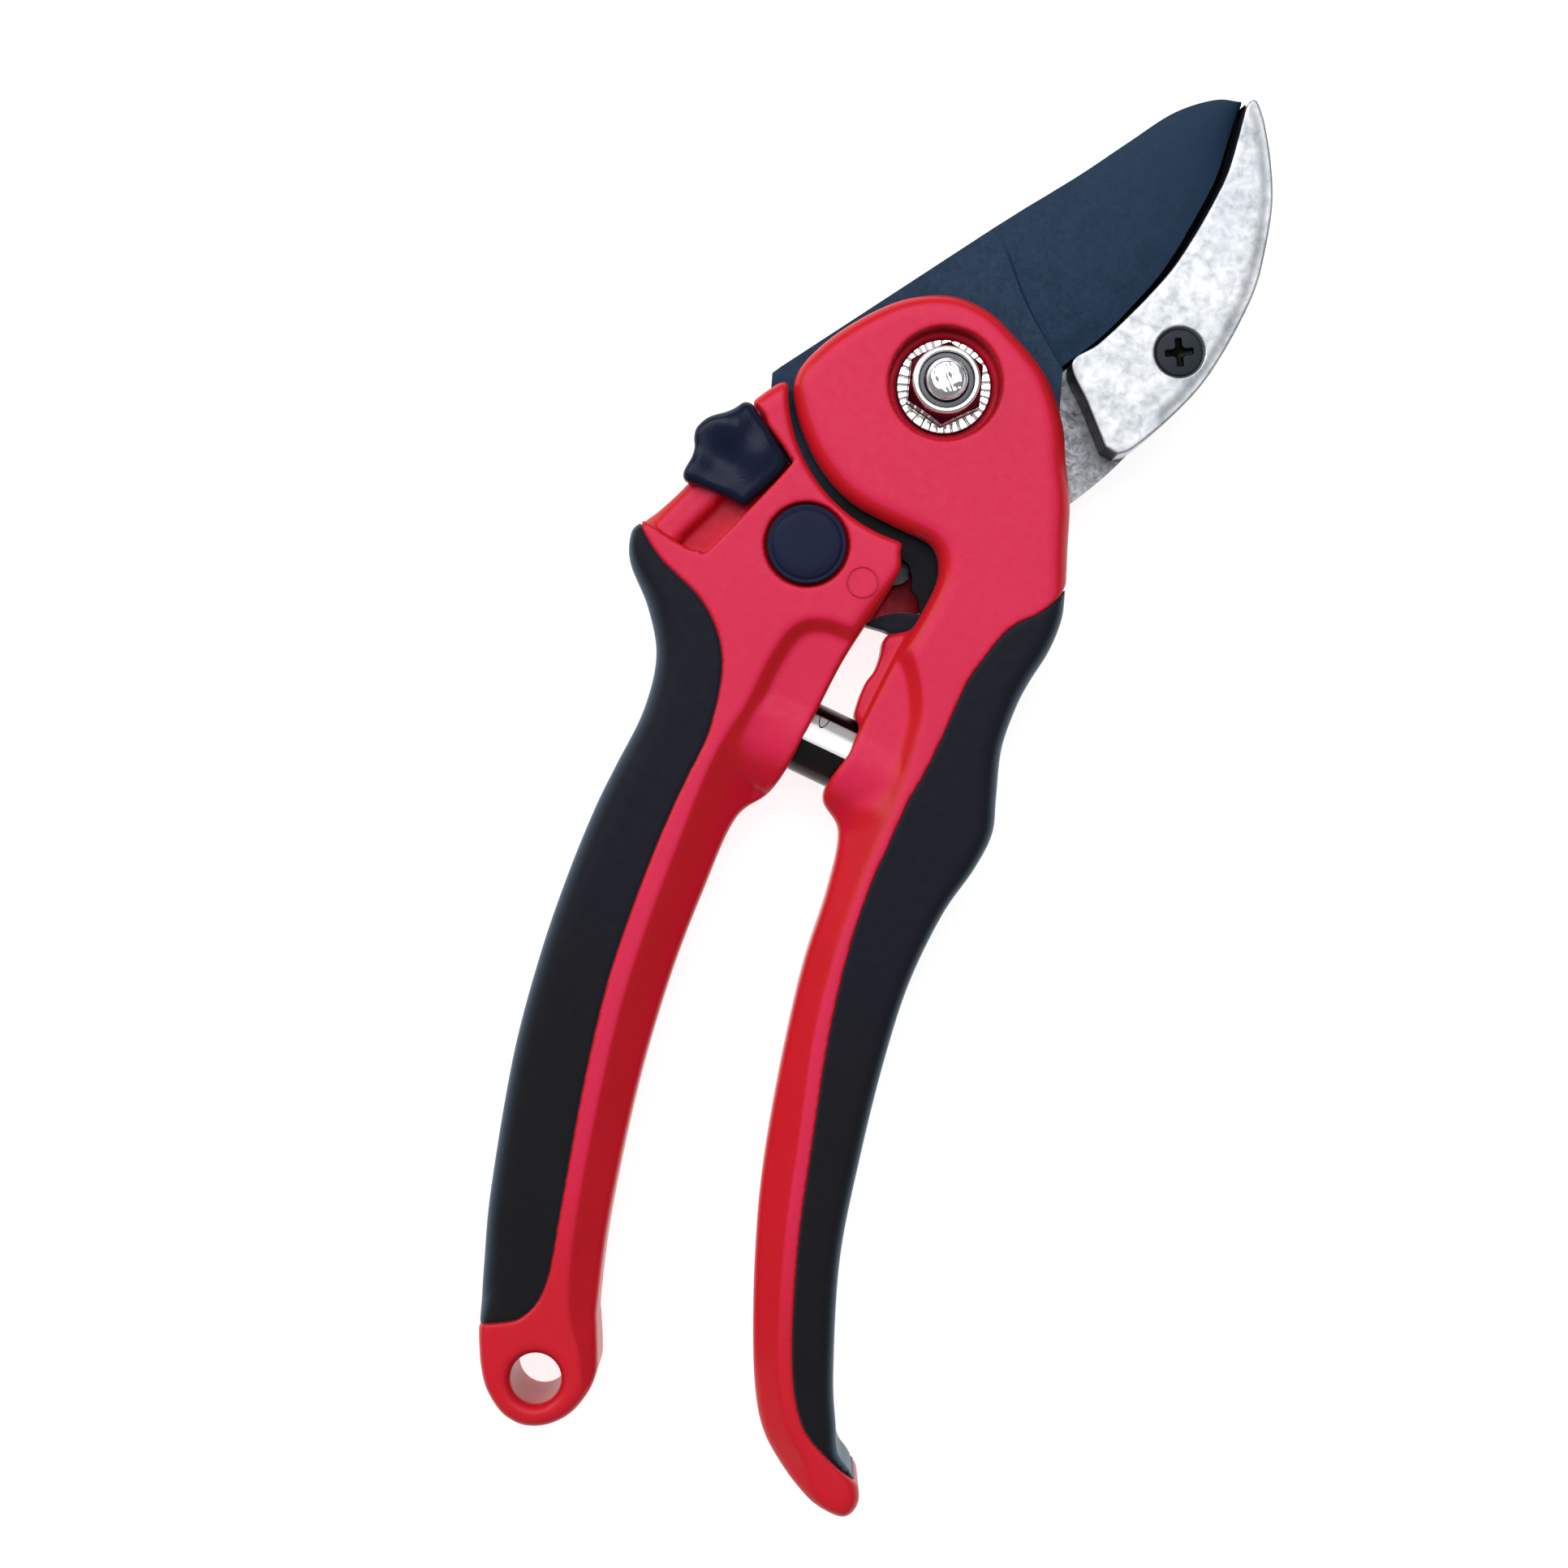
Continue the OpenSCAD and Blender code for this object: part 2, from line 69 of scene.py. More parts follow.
# ------------------------------------------------- outlines, mm from the pivot
LEFT_OUT = [(-1, 12.4), (-9, 7.9), (-14.2, 1.2), (-18, -4.2), (-21.8, -7.7),
            (-24.6, -11.8), (-27.2, -17.5), (-28.8, -24.2), (-31.2, -29.2),
            (-33.2, -32.2), (-29, -36.2), (-21, -40.2), (-16, -46.5),
            (-14.3, -56), (-15, -64), (-15.5, -70), (-15.9, -81),
            (-15.6, -94), (-13.8, -109), (-10.9, -126), (-9.3, -136.5),
            (-11, -142), (-16.2, -145.2), (-15.1, -148), (-14, -150.4),
            (-12.4, -152.9), (-10, -155)]
LEFT_IN = [(6, 11.4), (13, 8.5), (18.3, 3.5), (20.7, -2.5), (19.4, -7.7),
           (15.8, -13.6), (10, -18.3), (4.5, -21), (2.2, -23.4),
           (3, -26.4), (2.2, -31), (0.9, -36), (-0.4, -42.5),
           (-1.9, -55), (-3.5, -61.6), (-6.8, -66.9), (-7.6, -78),
           (-7.8, -91), (-6.8, -107), (-4.3, -125), (-1.7, -137),
           (-0.6, -140.2), (0.7, -143.4), (1.5, -146), (1.3, -149),
           (0, -152.4), (-2.4, -154.9), (-5.3, -156.1)]
LEFT_GRIP = [(-34.1, -34.3), (-32.8, -38.3), (-28.4, -43.3), (-25, -49.3),
             (-24.1, -57), (-25.1, -65.5), (-25.8, -72), (-26.2, -82),
             (-26, -94), (-24.7, -108.5), (-21.3, -127), (-18.7, -136.9),
             (-17.2, -142), (-16.3, -144.9)]
RIGHT_IN = [(-3.5, 12), (-9, 9.6), (-13.8, 5.2), (-18, -0.6), (-19.9, -6),
            (-17.9, -10.9), (-13, -16.2), (-7, -19.6), (0, -20.8),
            (6, -21.6), (8.3, -25.2), (7.9, -31), (6.7, -37),
            (5.8, -44), (4.9, -52), (3.7, -59.6), (7.5, -63.6),
            (8.8, -72), (9.3, -84), (11.7, -101.5), (14.9, -117),
            (20.1, -133.4), (24.8, -144), (29.7, -149.2), (35, -152.2),
            (39.2, -153.2)]
RIGHT_OUT = [(1.8, 11.9), (6.5, 10), (12.8, 6.2), (17.3, 0.8), (19.7, -4.3),
             (22.2, -9.5), (24, -15.4), (25.4, -20.5), (23.6, -25),
             (20, -29), (18, -34.5), (17, -38.5), (16.5, -45.5),
             (15.8, -52), (15, -56.5), (14.6, -62.5), (14.1, -70),
             (14.5, -80), (16, -91.5), (18.6, -104.5), (21.8, -119.5),
             (26.4, -134.5), (30.8, -142.6), (36.4, -146.2), (40.6, -148),
             (42, -150.4)]
RIGHT_GRIP = [(26, -22), (26.7, -25.5), (26.5, -30), (25.4, -35),
              (24.9, -39), (25, -45), (26.6, -51.5), (27.8, -56.5),
              (27.1, -62), (25.1, -69.5), (24, -80), (24.4, -91),
              (25.8, -104.5), (28.1, -119.5), (32.6, -134.5), (35.4, -141.3),
              (37.1, -144.9), (39.2, -146.5), (40.95, -148)]
JAW_OUT = [(27.3, 51.7), (28.3, 50.6), (29.7, 48.6), (32.1, 44.2), (34.2, 39), (35.4, 33),
           (36, 27.5), (35.6, 22), (34.6, 16), (33.2, 11), (30.6, 5.4),
           (27.6, 0.4), (25.9, -1.1)]
JAW_IN = [(26.8, 51.8), (26.25, 50.9), (26.35, 48.6), (26.6, 46), (26.9, 41), (26.4, 36.2),
          (25.5, 31), (24.3, 26), (22.6, 21.6), (20.5, 17), (18.1, 12.4), (15.6, 8.6),
          (19.6, 4.1), (23.9, -0.7)]
BLADE_BACK = [(25.6, 52.1), (22, 51.1), (17.2, 47.4), (12.6, 41.3),
              (8.3, 35.4), (4.8, 30.95), (2.2, 27.75), (0.3, 25.3), (-0.8, 23.9)]
BLADE_EDGE = [(25.95, 51.7), (26.35, 46.1), (26.7, 41), (26.2, 36.25), (25.3, 31.1),
              (24.1, 26.2), (22.4, 21.8), (19.2, 14.8), (14.9, 8.2)]
GRIND = [(-0.8, 23.9), (2.6, 20), (6.8, 15.2), (11.4, 11.1), (14.9, 8.2)]
BLADE_BODY = [(-22.5, -5), (-23.3, -6.2), (-22.4, -9.4), (-19.6, -14), (-15.2, -18.6),
              (-9.4, -22.2), (-3.6, -23.9), (1.2, -24.1), (3.8, -24.8), (5, -26.4),
              (5.4, -28), (6.9, -29), (7.6, -30.7), (9.8, -31.4), (9.2, -46), (11, -48.5),
              (13.4, -47), (14.6, -38), (17.5, -30), (21.4, -24), (20.6, -14),
              (18.4, -6), (16.6, 2)]
PLATE = [(33, 16), (32.4, 22), (28, 24.5), (24.4, 21), (20, 13.4),
         (12, 11), (3, 12.6), (-6, 12), (-12.4, 7), (-15.6, -1),
         (-17, -10), (-18.6, -20), (-18.4, -30), (-14, -36.4),
         (-6.6, -36), (-1.6, -32), (2.2, -28.6), (3.7, -27.7), (4.6, -26.6),
         (4.9, -25), (12, -21.4), (18, -16), (22, -9.5), (25.2, -4.4), (27.2, -0.6),
         (29.2, 4.4), (31.8, 10)]
LEDGE = [(-24.4, -11.4), (-20.8, -14.1), (-18, -16), (-16.7, -17.1), (-16.5, -18.6),
         (-22.6, -32.2), (-24.2, -33.5), (-27, -33.5), (-32.4, -32.1), (-40, -29), (-40, -6)]
# the hollow beside the spring and the slanted inner face below it
LEFT_SCOOP = [(8, -35.4), (0.8, -35.6), (-3.8, -35.6), (-7.1, -36.7), (-9.1, -38.8),
              (-10.1, -41.6), (-10.8, -45.3), (-11.4, -51.1), (-12.4, -57.1),
              (-13, -63.8), (-13.2, -72), (-13.4, -83),
              (-13, -96), (-11.4, -110), (-8.8, -126), (-6.2, -136.5),
              (-2.6, -143), (6, -150), (30, -120), (30, -40)]
RIGHT_SCOOP = [(3, -34.6), (7.4, -35.6), (9.4, -36.8), (11.6, -39.8), (13.2, -43.4), (13.9, -47.2),
               (14.2, -52), (13.8, -57), (13.4, -62.5), (13, -70), (13, -80),
               (14.1, -91.5), (16.8, -104.5), (20, -119.5), (24.6, -134.5),
               (29.2, -143), (35, -149), (38, -160), (-10, -150), (-25, -90), (-10, -40)]
SPRING = (1.3, -53.0)
SPRING_TURN = math.radians(-5.5)
SPRING_DIR = (math.cos(SPRING_TURN), math.sin(SPRING_TURN))
PIVOT = (0, 0)
CAP_L = (-10.4, -27.6)
CAP_R = (14.2, -27.2)
HANG = (-6.2, -149.4)
SCREW = (29.1, 15.2)
EJECTOR_MARK = (-1.4, -29.9, 15.99)


def cr(p, i, t):
    """Point on a smooth curve through p, at the fraction t of span i."""
    n = len(p) - 1
    b, c = p[i], p[i + 1]
    a = p[i - 1] if i > 0 else 2 * p[0] - p[1]
    d = p[i + 2] if i + 2 <= n else 2 * p[n] - p[n - 1]
    return 0.5 * (2 * b + (c - a) * t + (2 * a - 5 * b + 4 * c - d) * t * t
                  + (3 * b - a - 3 * c + d) * t ** 3)


def rail(p, a=0, b=None, n=8):
    """Smooth open curve from point a to point b, n steps a span."""
    p = np.array(p, float)
    b = len(p) - 1 if b is None else b
    return np.array([cr(p, i, k / n) for i in range(a, b) for k in range(n)] + [p[b]])


def ring(p, n=8):
    """Smooth closed curve, n steps a span."""
    p = np.array(p, float)
    q = np.vstack([p[-1:], p, p[:2]])
    return np.array([cr(q, i, k / n) for i in range(1, len(p) + 1) for k in range(n)])


# ------------------------------------------------------- distance field tools
def seg_dist(X, Y, line, closed):
    """Distance to a polyline and, if closed, its sign, negative inside."""
    best = np.full(X.shape, 1e9)
    inside = np.zeros(X.shape, bool)
    n = len(line)
    for i in range(n if closed else n - 1):
        ax, ay = line[i]
        bx, by = line[(i + 1) % n]
        ex, ey = bx - ax, by - ay
        wx, wy = X - ax, Y - ay
        t = np.clip((wx * ex + wy * ey) / max(ex * ex + ey * ey, 1e-12), 0, 1)
        best = np.minimum(best, (wx - t * ex) ** 2 + (wy - t * ey) ** 2)
        if closed and ay != by:
            up = (ay <= Y) != (by <= Y)
            inside ^= up & (X < ax + (Y - ay) / (by - ay) * ex)
    d = np.sqrt(best)
    return np.where(inside, -d, d) if closed else d


def smin(a, b, k):
    """Lower of two fields, blended where they differ by less than k."""
    return np.minimum(a, b) - np.maximum(k - np.abs(a - b), 0) ** 2 / (4 * k)


def smax(a, b, k):
    return -smin(-a, -b, k)


def step(x, a, b):
    """Soft step from 0 at a to 1 at b."""
    t = np.clip((x - a) / (b - a), 0, 1)
    return t * t * (3 - 2 * t)


def slabf(d, z, z0, z1, r):
    """Extruded outline with rounded edges of radius r."""
    a = d + r
    b = np.abs(z - (z0 + z1) / 2) - (z1 - z0) / 2 + r
    return (np.minimum(np.maximum(a, b), 0)
            + np.sqrt(np.maximum(a, 0) ** 2 + np.maximum(b, 0) ** 2) - r)


class Grid:
    """Box of sample points, h apart, for fields that are negative inside a shape."""

    def __init__(self, lo, hi, h):
        self.h, self.lo = h, np.array(lo, float)
        n = [int(math.ceil((hi[i] - lo[i]) / h)) + 1 for i in range(3)]
        x, y, z = (lo[i] + h * np.arange(n[i]) for i in range(3))
        self.X, self.Y = (a[:, :, None] for a in np.meshgrid(x, y, indexing="ij"))
        self.Z = z[None, None, :]

    def poly(self, line):
        return seg_dist(self.X[:, :, 0], self.Y[:, :, 0], line, True)[:, :, None]

    def line(self, line):
        return seg_dist(self.X[:, :, 0], self.Y[:, :, 0], line, False)[:, :, None]

    def disc(self, c, r):
        return np.hypot(self.X - c[0], self.Y - c[1]) - r

    def mesh(self, f):
        """Surface nets: one vertex for each cell that the surface crosses."""
        f = np.pad(np.broadcast_to(f, (self.X.shape[0], self.X.shape[1], self.Z.shape[2])),
                   1, constant_values=1.0).astype(np.float32)
        s = f < 0
        nx, ny, nz = f.shape
        corners = [(i, j, k) for i in (0, 1) for j in (0, 1) for k in (0, 1)]
        count = sum(s[i:nx - 1 + i, j:ny - 1 + j, k:nz - 1 + k].astype(np.int8)
                    for i, j, k in corners)
        active = (count > 0) & (count < 8)
        cell = np.argwhere(active)
        val = {c: f[cell[:, 0] + c[0], cell[:, 1] + c[1], cell[:, 2] + c[2]] for c in corners}
        pos, wgt = np.zeros((len(cell), 3)), np.zeros(len(cell))
        for a in corners:
            for ax in range(3):
                if a[ax]:
                    continue
                b = tuple(1 if q == ax else a[q] for q in range(3))
                va, vb = val[a], val[b]
                cross = (va < 0) != (vb < 0)
                t = np.where(cross, va / np.where(cross, va - vb, 1), 0)
                for q in range(3):
                    pos[:, q] += np.where(cross, a[q] + (t if q == ax else 0), 0)
                wgt += cross
        pos = (pos / wgt[:, None] + cell - 1) * self.h + self.lo
        vid = np.full(active.shape, -1, np.int64)
        vid[active] = np.arange(len(cell))
        quads = []
        for ax in range(3):
            u, v = (ax + 1) % 3, (ax + 2) % 3
            lo_s = [slice(None)] * 3
            hi_s = [slice(None)] * 3
            lo_s[ax], hi_s[ax] = slice(0, -1), slice(1, None)
            sa, sb = s[tuple(lo_s)], s[tuple(hi_s)]
            p = np.argwhere(sa != sb)
            p = p[(p[:, u] > 0) & (p[:, v] > 0)]
            inside = sa[p[:, 0], p[:, 1], p[:, 2]]

            def at(du, dv):
                q = p.copy()
                q[:, u] -= du
                q[:, v] -= dv
                return vid[q[:, 0], q[:, 1], q[:, 2]]
            quad = np.stack([at(1, 1), at(0, 1), at(0, 0), at(1, 0)], 1)
            quad[~inside] = quad[~inside][:, ::-1]
            quads.append(quad[(quad >= 0).all(1)])
        return self.settle(pos, np.vstack(quads), f)

    def settle(self, pos, quads, f, rounds=3):
        """Evens out the net and puts its points back on the surface."""
        def field(p):
            q = np.clip((p - self.lo) / self.h + 1, 0, np.array(f.shape) - 1.001)
            i = q.astype(int)
            t = q - i
            out = 0
            for a in (0, 1):
                for b in (0, 1):
                    for c in (0, 1):
                        w = (t[:, 0] if a else 1 - t[:, 0]) * (t[:, 1] if b else 1 - t[:, 1]) \
                            * (t[:, 2] if c else 1 - t[:, 2])
                        out = out + w * f[i[:, 0] + a, i[:, 1] + b, i[:, 2] + c]
            return out
        e = np.vstack([quads[:, [0, 1]], quads[:, [1, 2]], quads[:, [2, 3]], quads[:, [3, 0]]])
        deg = np.bincount(e.ravel(), minlength=len(pos))[:, None].astype(float)
        eps = self.h * 0.5
        for _ in range(rounds):
            avg = np.zeros_like(pos)
            for q in range(3):
                avg[:, q] = (np.bincount(e[:, 0], pos[e[:, 1], q], len(pos))
                             + np.bincount(e[:, 1], pos[e[:, 0], q], len(pos)))
            pos = 0.5 * pos + 0.5 * avg / np.maximum(deg, 1)
            for _ in range(2):
                v = field(pos)
                grad = np.stack([field(pos + d) - field(pos - d) for d in np.eye(3) * eps], 1)
                grad /= 2 * eps
                n2 = np.maximum((grad ** 2).sum(1), 0.2)
                move = (v / n2)[:, None] * grad
                pos = pos - np.clip(move, -0.3 * self.h, 0.3 * self.h)
        return pos, quads


# ------------------------------------------------------------- mesh plumbing
def make(name, verts, faces, body, slot, replaces, mat, sharp=None, second=None):
    """New piece from vertices in mm about the pivot; second is (material, face test)."""
    v = np.array(verts, float)
    v = np.stack([OX + v[:, 0] * MM, OY + v[:, 1] * MM, v[:, 2] * MM], 1)
    me = bpy.data.meshes.new(name)
    me.from_pydata(v.tolist(), [], [tuple(int(i) for i in q) for q in faces])
    me.validate()
    me.update()
    ob = bpy.data.objects.new(name, me)
    bpy.context.collection.objects.link(ob)
    me.polygons.foreach_set("use_smooth", [True] * len(me.polygons))
    if sharp:
        me.set_sharp_from_angle(angle=math.radians(sharp))
    me.materials.append(mat)
    if second:
        me.materials.append(second[0])
        for f in me.polygons:
            c = f.center
            if second[1]((c.x - OX) / MM, (c.y - OY) / MM, c.z / MM, f.index):
                f.material_index = 1
    for n in replaces:
        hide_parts(n)
    if body:
        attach(ob, body)
    return ob


def from_bm(name, bm, *args, **kw):
    bm.normal_update()
    verts = [tuple(v.co) for v in bm.verts]
    bm.verts.index_update()
    faces = [[v.index for v in f.verts] for f in bm.faces]
    bm.free()
    return make(name, verts, faces, *args, **kw)


def loop_edges(bm, vs):
    """Closed loop of edges through the vertices; an edge that is there is used again."""
    pairs = [(vs[i], vs[(i + 1) % len(vs)]) for i in range(len(vs))]
    return [bm.edges.get(pair) or bm.edges.new(pair) for pair in pairs]


def thicken(bm, edges, z0):
    """Fills the edge loops, then extrudes all faces down to the height z0."""
    bmesh.ops.triangle_fill(bm, edges=edges, use_beauty=True, use_dissolve=False)
    bm.normal_update()
    for f in bm.faces:
        if f.normal.z < 0:
            f.normal_flip()
    out = bmesh.ops.extrude_face_region(bm, geom=list(bm.faces))
    for v in out["geom"]:
        if isinstance(v, bmesh.types.BMVert):
            v.co.z = z0
    bmesh.ops.recalc_face_normals(bm, faces=bm.faces)


def prism_bm(outline, z0, z1, holes=()):
    """Flat plate of the outline, with round holes, in millimetres."""
    bm = bmesh.new()
    edges = []
    for loop in [outline] + list(holes):
        edges += loop_edges(bm, [bm.verts.new((p[0], p[1], z1)) for p in loop])
    thicken(bm, edges, z0)
    return bm


def circle(c, r, n=48):
    return [(c[0] + r * math.cos(2 * math.pi * i / n), c[1] + r * math.sin(2 * math.pi * i / n))
            for i in range(n)]


def lathe(profile, c, n):
    """Closed solid turned about the upright axis through c; profile is (radius, z)."""
    verts, faces = [], []
    m = len(profile)
    for i in range(n):
        a = 2 * math.pi * i / n
        for r, z in profile:
            verts.append((c[0] + r * math.cos(a), c[1] + r * math.sin(a), z))
    for i in range(n):
        j = (i + 1) % n
        for k in range(m - 1):
            a, b, d, e = i * m + k, j * m + k, j * m + k + 1, i * m + k + 1
            if profile[k][0] == 0:
                faces.append((a, d, e))
            elif profile[k + 1][0] == 0:
                faces.append((a, b, e))
            else:
                faces.append((a, b, d, e))
    return verts, faces


def weld(verts, faces):
    """Mesh with coinciding vertices joined."""
    bm = bmesh.new()
    vs = [bm.verts.new(v) for v in verts]
    for f in faces:
        bm.faces.new([vs[i] for i in f])
    bmesh.ops.remove_doubles(bm, verts=bm.verts, dist=1e-5)
    bmesh.ops.recalc_face_normals(bm, faces=bm.faces)
    return bm


# ------------------------------------------------------------------ materials
def new_mat(name):
    m = bpy.data.materials.new(name)
    m.use_nodes = True
    return m, m.node_tree.nodes, m.node_tree.links, m.node_tree.nodes["Principled BSDF"]


def coords(nodes, links, scale=(1, 1, 1)):
    tc = nodes.new("ShaderNodeTexCoord")
    mp = nodes.new("ShaderNodeMapping")
    mp.inputs["Scale"].default_value = scale
    links.new(tc.outputs["Object"], mp.inputs["Vector"])
    return mp.outputs["Vector"]


def noise(nodes, links, vec, scale, detail=3.0, rough=0.5, distort=0.0):
    n = nodes.new("ShaderNodeTexNoise")
    n.inputs["Scale"].default_value = scale
    n.inputs["Detail"].default_value = detail
    n.inputs["Roughness"].default_value = rough
    n.inputs["Distortion"].default_value = distort
    links.new(vec, n.inputs["Vector"])
    return n.outputs["Fac"]


def ramp(nodes, links, fac, stops):
    r = nodes.new("ShaderNodeValToRGB")
    el = r.color_ramp.elements
    while len(el) < len(stops):
        el.new(0.5)
    for e, (pos, col) in zip(el, stops):
        e.position = pos
        e.color = col if len(col) == 4 else (*col, 1)
    links.new(fac, r.inputs["Fac"])
    return r.outputs["Color"]


def g(v):
    """Neutral tone."""
    return (v, v, v)


def bump(nodes, links, height, strength, dist, normal=None):
    b = nodes.new("ShaderNodeBump")
    b.inputs["Strength"].default_value = strength
    b.inputs["Distance"].default_value = dist
    links.new(height, b.inputs["Height"])
    if normal is not None:
        links.new(normal, b.inputs["Normal"])
    return b.outputs["Normal"]


def mixc(nodes, links, fac, a, b, mode="MIX"):
    m = nodes.new("ShaderNodeMix")
    m.data_type = "RGBA"
    m.blend_type = mode
    for sock, val in ((m.inputs[0], fac), (m.inputs[6], a), (m.inputs[7], b)):
        if isinstance(val, (int, float)):
            sock.default_value = val
        elif isinstance(val, tuple):
            sock.default_value = val if len(val) == 4 else (*val, 1)
        else:
            links.new(val, sock)
    return m.outputs[2]


def remap(nodes, links, value, a, b, curve="SMOOTHSTEP"):
    """0 where the value is a, 1 where it is b."""
    r = nodes.new("ShaderNodeMapRange")
    r.interpolation_type = curve
    lo, hi = (a, b) if a < b else (b, a)
    r.inputs["From Min"].default_value = lo
    r.inputs["From Max"].default_value = hi
    if a > b:
        r.inputs["To Min"].default_value = 1
        r.inputs["To Max"].default_value = 0
    links.new(value, r.inputs["Value"])
    return r.outputs["Result"]


def axis_value(nodes, links, source, axis):
    """X, Y or Z of the object's coordinates or of its normal."""
    tc = nodes.new("ShaderNodeTexCoord")
    sep = nodes.new("ShaderNodeSeparateXYZ")
    links.new(tc.outputs[source], sep.inputs["Vector"])
    return sep.outputs[axis]


def facing(nodes, links, lo, hi):
    """1 on faces that lie flat, up or down, and 0 on the sides."""
    up = nodes.new("ShaderNodeMath")
    up.operation = "ABSOLUTE"
    links.new(axis_value(nodes, links, "Normal", "Z"), up.inputs[0])
    return remap(nodes, links, up.outputs[0], lo, hi)


def plastic(name, side, flat, rough=(0.34, 0.5), rough_side=0.3, grain=0.16, sheen=0.0,
            tint=(0.62, 0.8, 1), spec=0.5, lo=0.86, hi=0.995):
    """Moulded plastic: matt on its flat faces and smoother on its rounded sides; flat faces and
    sides take different colours, painted light and shade by which way a face turns.
    """
    mottle = 0.12
    m, N, L, b = new_mat(name)
    v = coords(N, L)
    broad = noise(N, L, v, 60, 4, 0.6)
    fine = noise(N, L, v, 2600, 2, 0.6)
    mid = noise(N, L, v, 700, 3, 0.55)
    up = facing(N, L, lo, hi)
    # flat and side colours differ by facing: painted light and shade
    col = mixc(N, L, up, side, flat)
    for pattern in (broad, fine):
        spots = ramp(N, L, pattern, [(0.3, g(0.2)), (0.7, g(0.8))])
        col = mixc(N, L, mottle, col, spots, "OVERLAY")
    L.new(col, b.inputs["Base Color"])
    r = ramp(N, L, mid, [(0.3, g(rough[0])), (0.7, g(rough[1]))])
    L.new(mixc(N, L, up, g(rough_side), r), b.inputs["Roughness"])
    n1 = bump(N, L, fine, grain, 0.00008)
    L.new(bump(N, L, mid, grain * 0.6, 0.0001, n1), b.inputs["Normal"])
    b.inputs["Specular IOR Level"].default_value = spec
    b.inputs["Sheen Weight"].default_value = sheen
    b.inputs["Sheen Roughness"].default_value = 0.35
    b.inputs["Sheen Tint"].default_value = (*tint, 1)
    return m


def metal(name, dark, base, light, rough, scale, bumps, streak=(1, 1, 1), metallic=1.0,
          distort=0.0, spec=0.5):
    """Mottled metal or coating; scale is the mottling's, streak stretches it."""
    m, N, L, b = new_mat(name)
    v = coords(N, L, streak)
    a = noise(N, L, v, scale, 5, 0.6, distort)
    w = noise(N, L, v, scale * 0.22, 3, 0.6, distort)
    col = ramp(N, L, a, [(0.3, dark), (0.5, base), (0.7, light)])
    col = mixc(N, L, 0.4, col, ramp(N, L, w, [(0.35, dark), (0.65, light)]))
    L.new(col, b.inputs["Base Color"])
    L.new(ramp(N, L, a, [(0.25, g(rough[1])), (0.75, g(rough[0]))]), b.inputs["Roughness"])
    L.new(bump(N, L, a, bumps, 0.0001), b.inputs["Normal"])
    b.inputs["Metallic"].default_value = metallic
    b.inputs["Specular IOR Level"].default_value = spec
    return m


# flat faces pinker than the sides: painted sheen of the overhead light on the flats, painted shade
# on the sides
RED = plastic("red_plastic", (0.60, 0.010, 0.020), (0.74, 0.020, 0.080), spec=0.2, sheen=0.05,
              tint=(1, 0.6, 0.7))
# sides lighter and bluer than the flats: painted reflection of light along the rounded outer edge
GRIP = plastic("grip_rubber", (0.030, 0.052, 0.078), (0.009, 0.009, 0.011), lo=0.5, hi=0.985,
               rough=(0.5, 0.66), rough_side=0.4, grain=0.22, spec=0.12, sheen=0.3)
GLOSS = plastic("black_plastic", (0.005, 0.011, 0.028), (0.008, 0.012, 0.036),
                rough=(0.24, 0.4), rough_side=0.24, grain=0.4, spec=0.15)
CAP = plastic("cap_plastic", (0.009, 0.015, 0.040), (0.013, 0.017, 0.044),
              rough=(0.4, 0.5), rough_side=0.24, grain=0.05, spec=0.07)
BLACKED = plastic("blackened_steel", (0.006, 0.009, 0.014), (0.020, 0.026, 0.036),
                  rough=(0.3, 0.42), rough_side=0.3, grain=0.1, spec=0.14)
COAT = metal("blade_coating", (0.009, 0.027, 0.054), (0.0145, 0.038, 0.080), (0.022, 0.051, 0.104),
             rough=(0.4, 0.55), scale=1400, bumps=0.06, metallic=0.0, distort=0.6, spec=0.12)
# near-black material laid along the blade's edge, under the jaw's inner edge and round the spring's
# tongue: painted shade
EDGE = metal("blade_edge", (0.002, 0.002, 0.003), (0.003, 0.004, 0.006), (0.006, 0.008, 0.01),
             rough=(0.4, 0.55), scale=1400, bumps=0.06, metallic=0.0, spec=0.1)
CAST = metal("cast_alloy", (0.34, 0.37, 0.40), (0.50, 0.53, 0.55), (0.60, 0.61, 0.61),
             rough=(0.34, 0.5), scale=620, bumps=0.3, distort=0.3)
PLATE_M = metal("plain_steel", (0.10, 0.11, 0.12), (0.24, 0.25, 0.27), (0.42, 0.43, 0.45),
                rough=(0.35, 0.55), scale=650, bumps=0.2, distort=1.5)
PLATED = metal("plated_steel", (0.62, 0.62, 0.63), (0.8, 0.8, 0.8), (0.9, 0.9, 0.88),
               rough=(0.1, 0.2), scale=1500, bumps=0.04)
SPRING_M = metal("spring_steel", (0.5, 0.5, 0.51), (0.66, 0.66, 0.67), (0.8, 0.8, 0.8),
                 rough=(0.16, 0.28), scale=900, streak=(0.08, 1, 1), bumps=0.05, metallic=0.55)


def tone_over(m, make_fac, color):
    """Lays another tone over a material's colour where the factor is 1."""
    N, L = m.node_tree.nodes, m.node_tree.links
    sock = N["Principled BSDF"].inputs["Base Color"]
    old = sock.links[0].from_socket
    L.new(mixc(N, L, make_fac(N, L), old, color), sock)


def product(nodes, links, *factors):
    """Factors multiplied together."""
    out = factors[0]
    for f in factors[1:]:
        m = nodes.new("ShaderNodeMath")
        m.operation = "MULTIPLY"
        links.new(out, m.inputs[0])
        links.new(f, m.inputs[1])
        out = m.outputs[0]
    return out


def along_y(a, b, flat_only=True):
    """Factor that grows from y = a to y = b, millimetres from the pivot."""
    def make_fac(nodes, links):
        f = remap(nodes, links, axis_value(nodes, links, "Object", "Y"), OY + a * MM, OY + b * MM)
        return product(nodes, links, f, facing(nodes, links, 0.8, 0.98)) if flat_only else f
    return make_fac


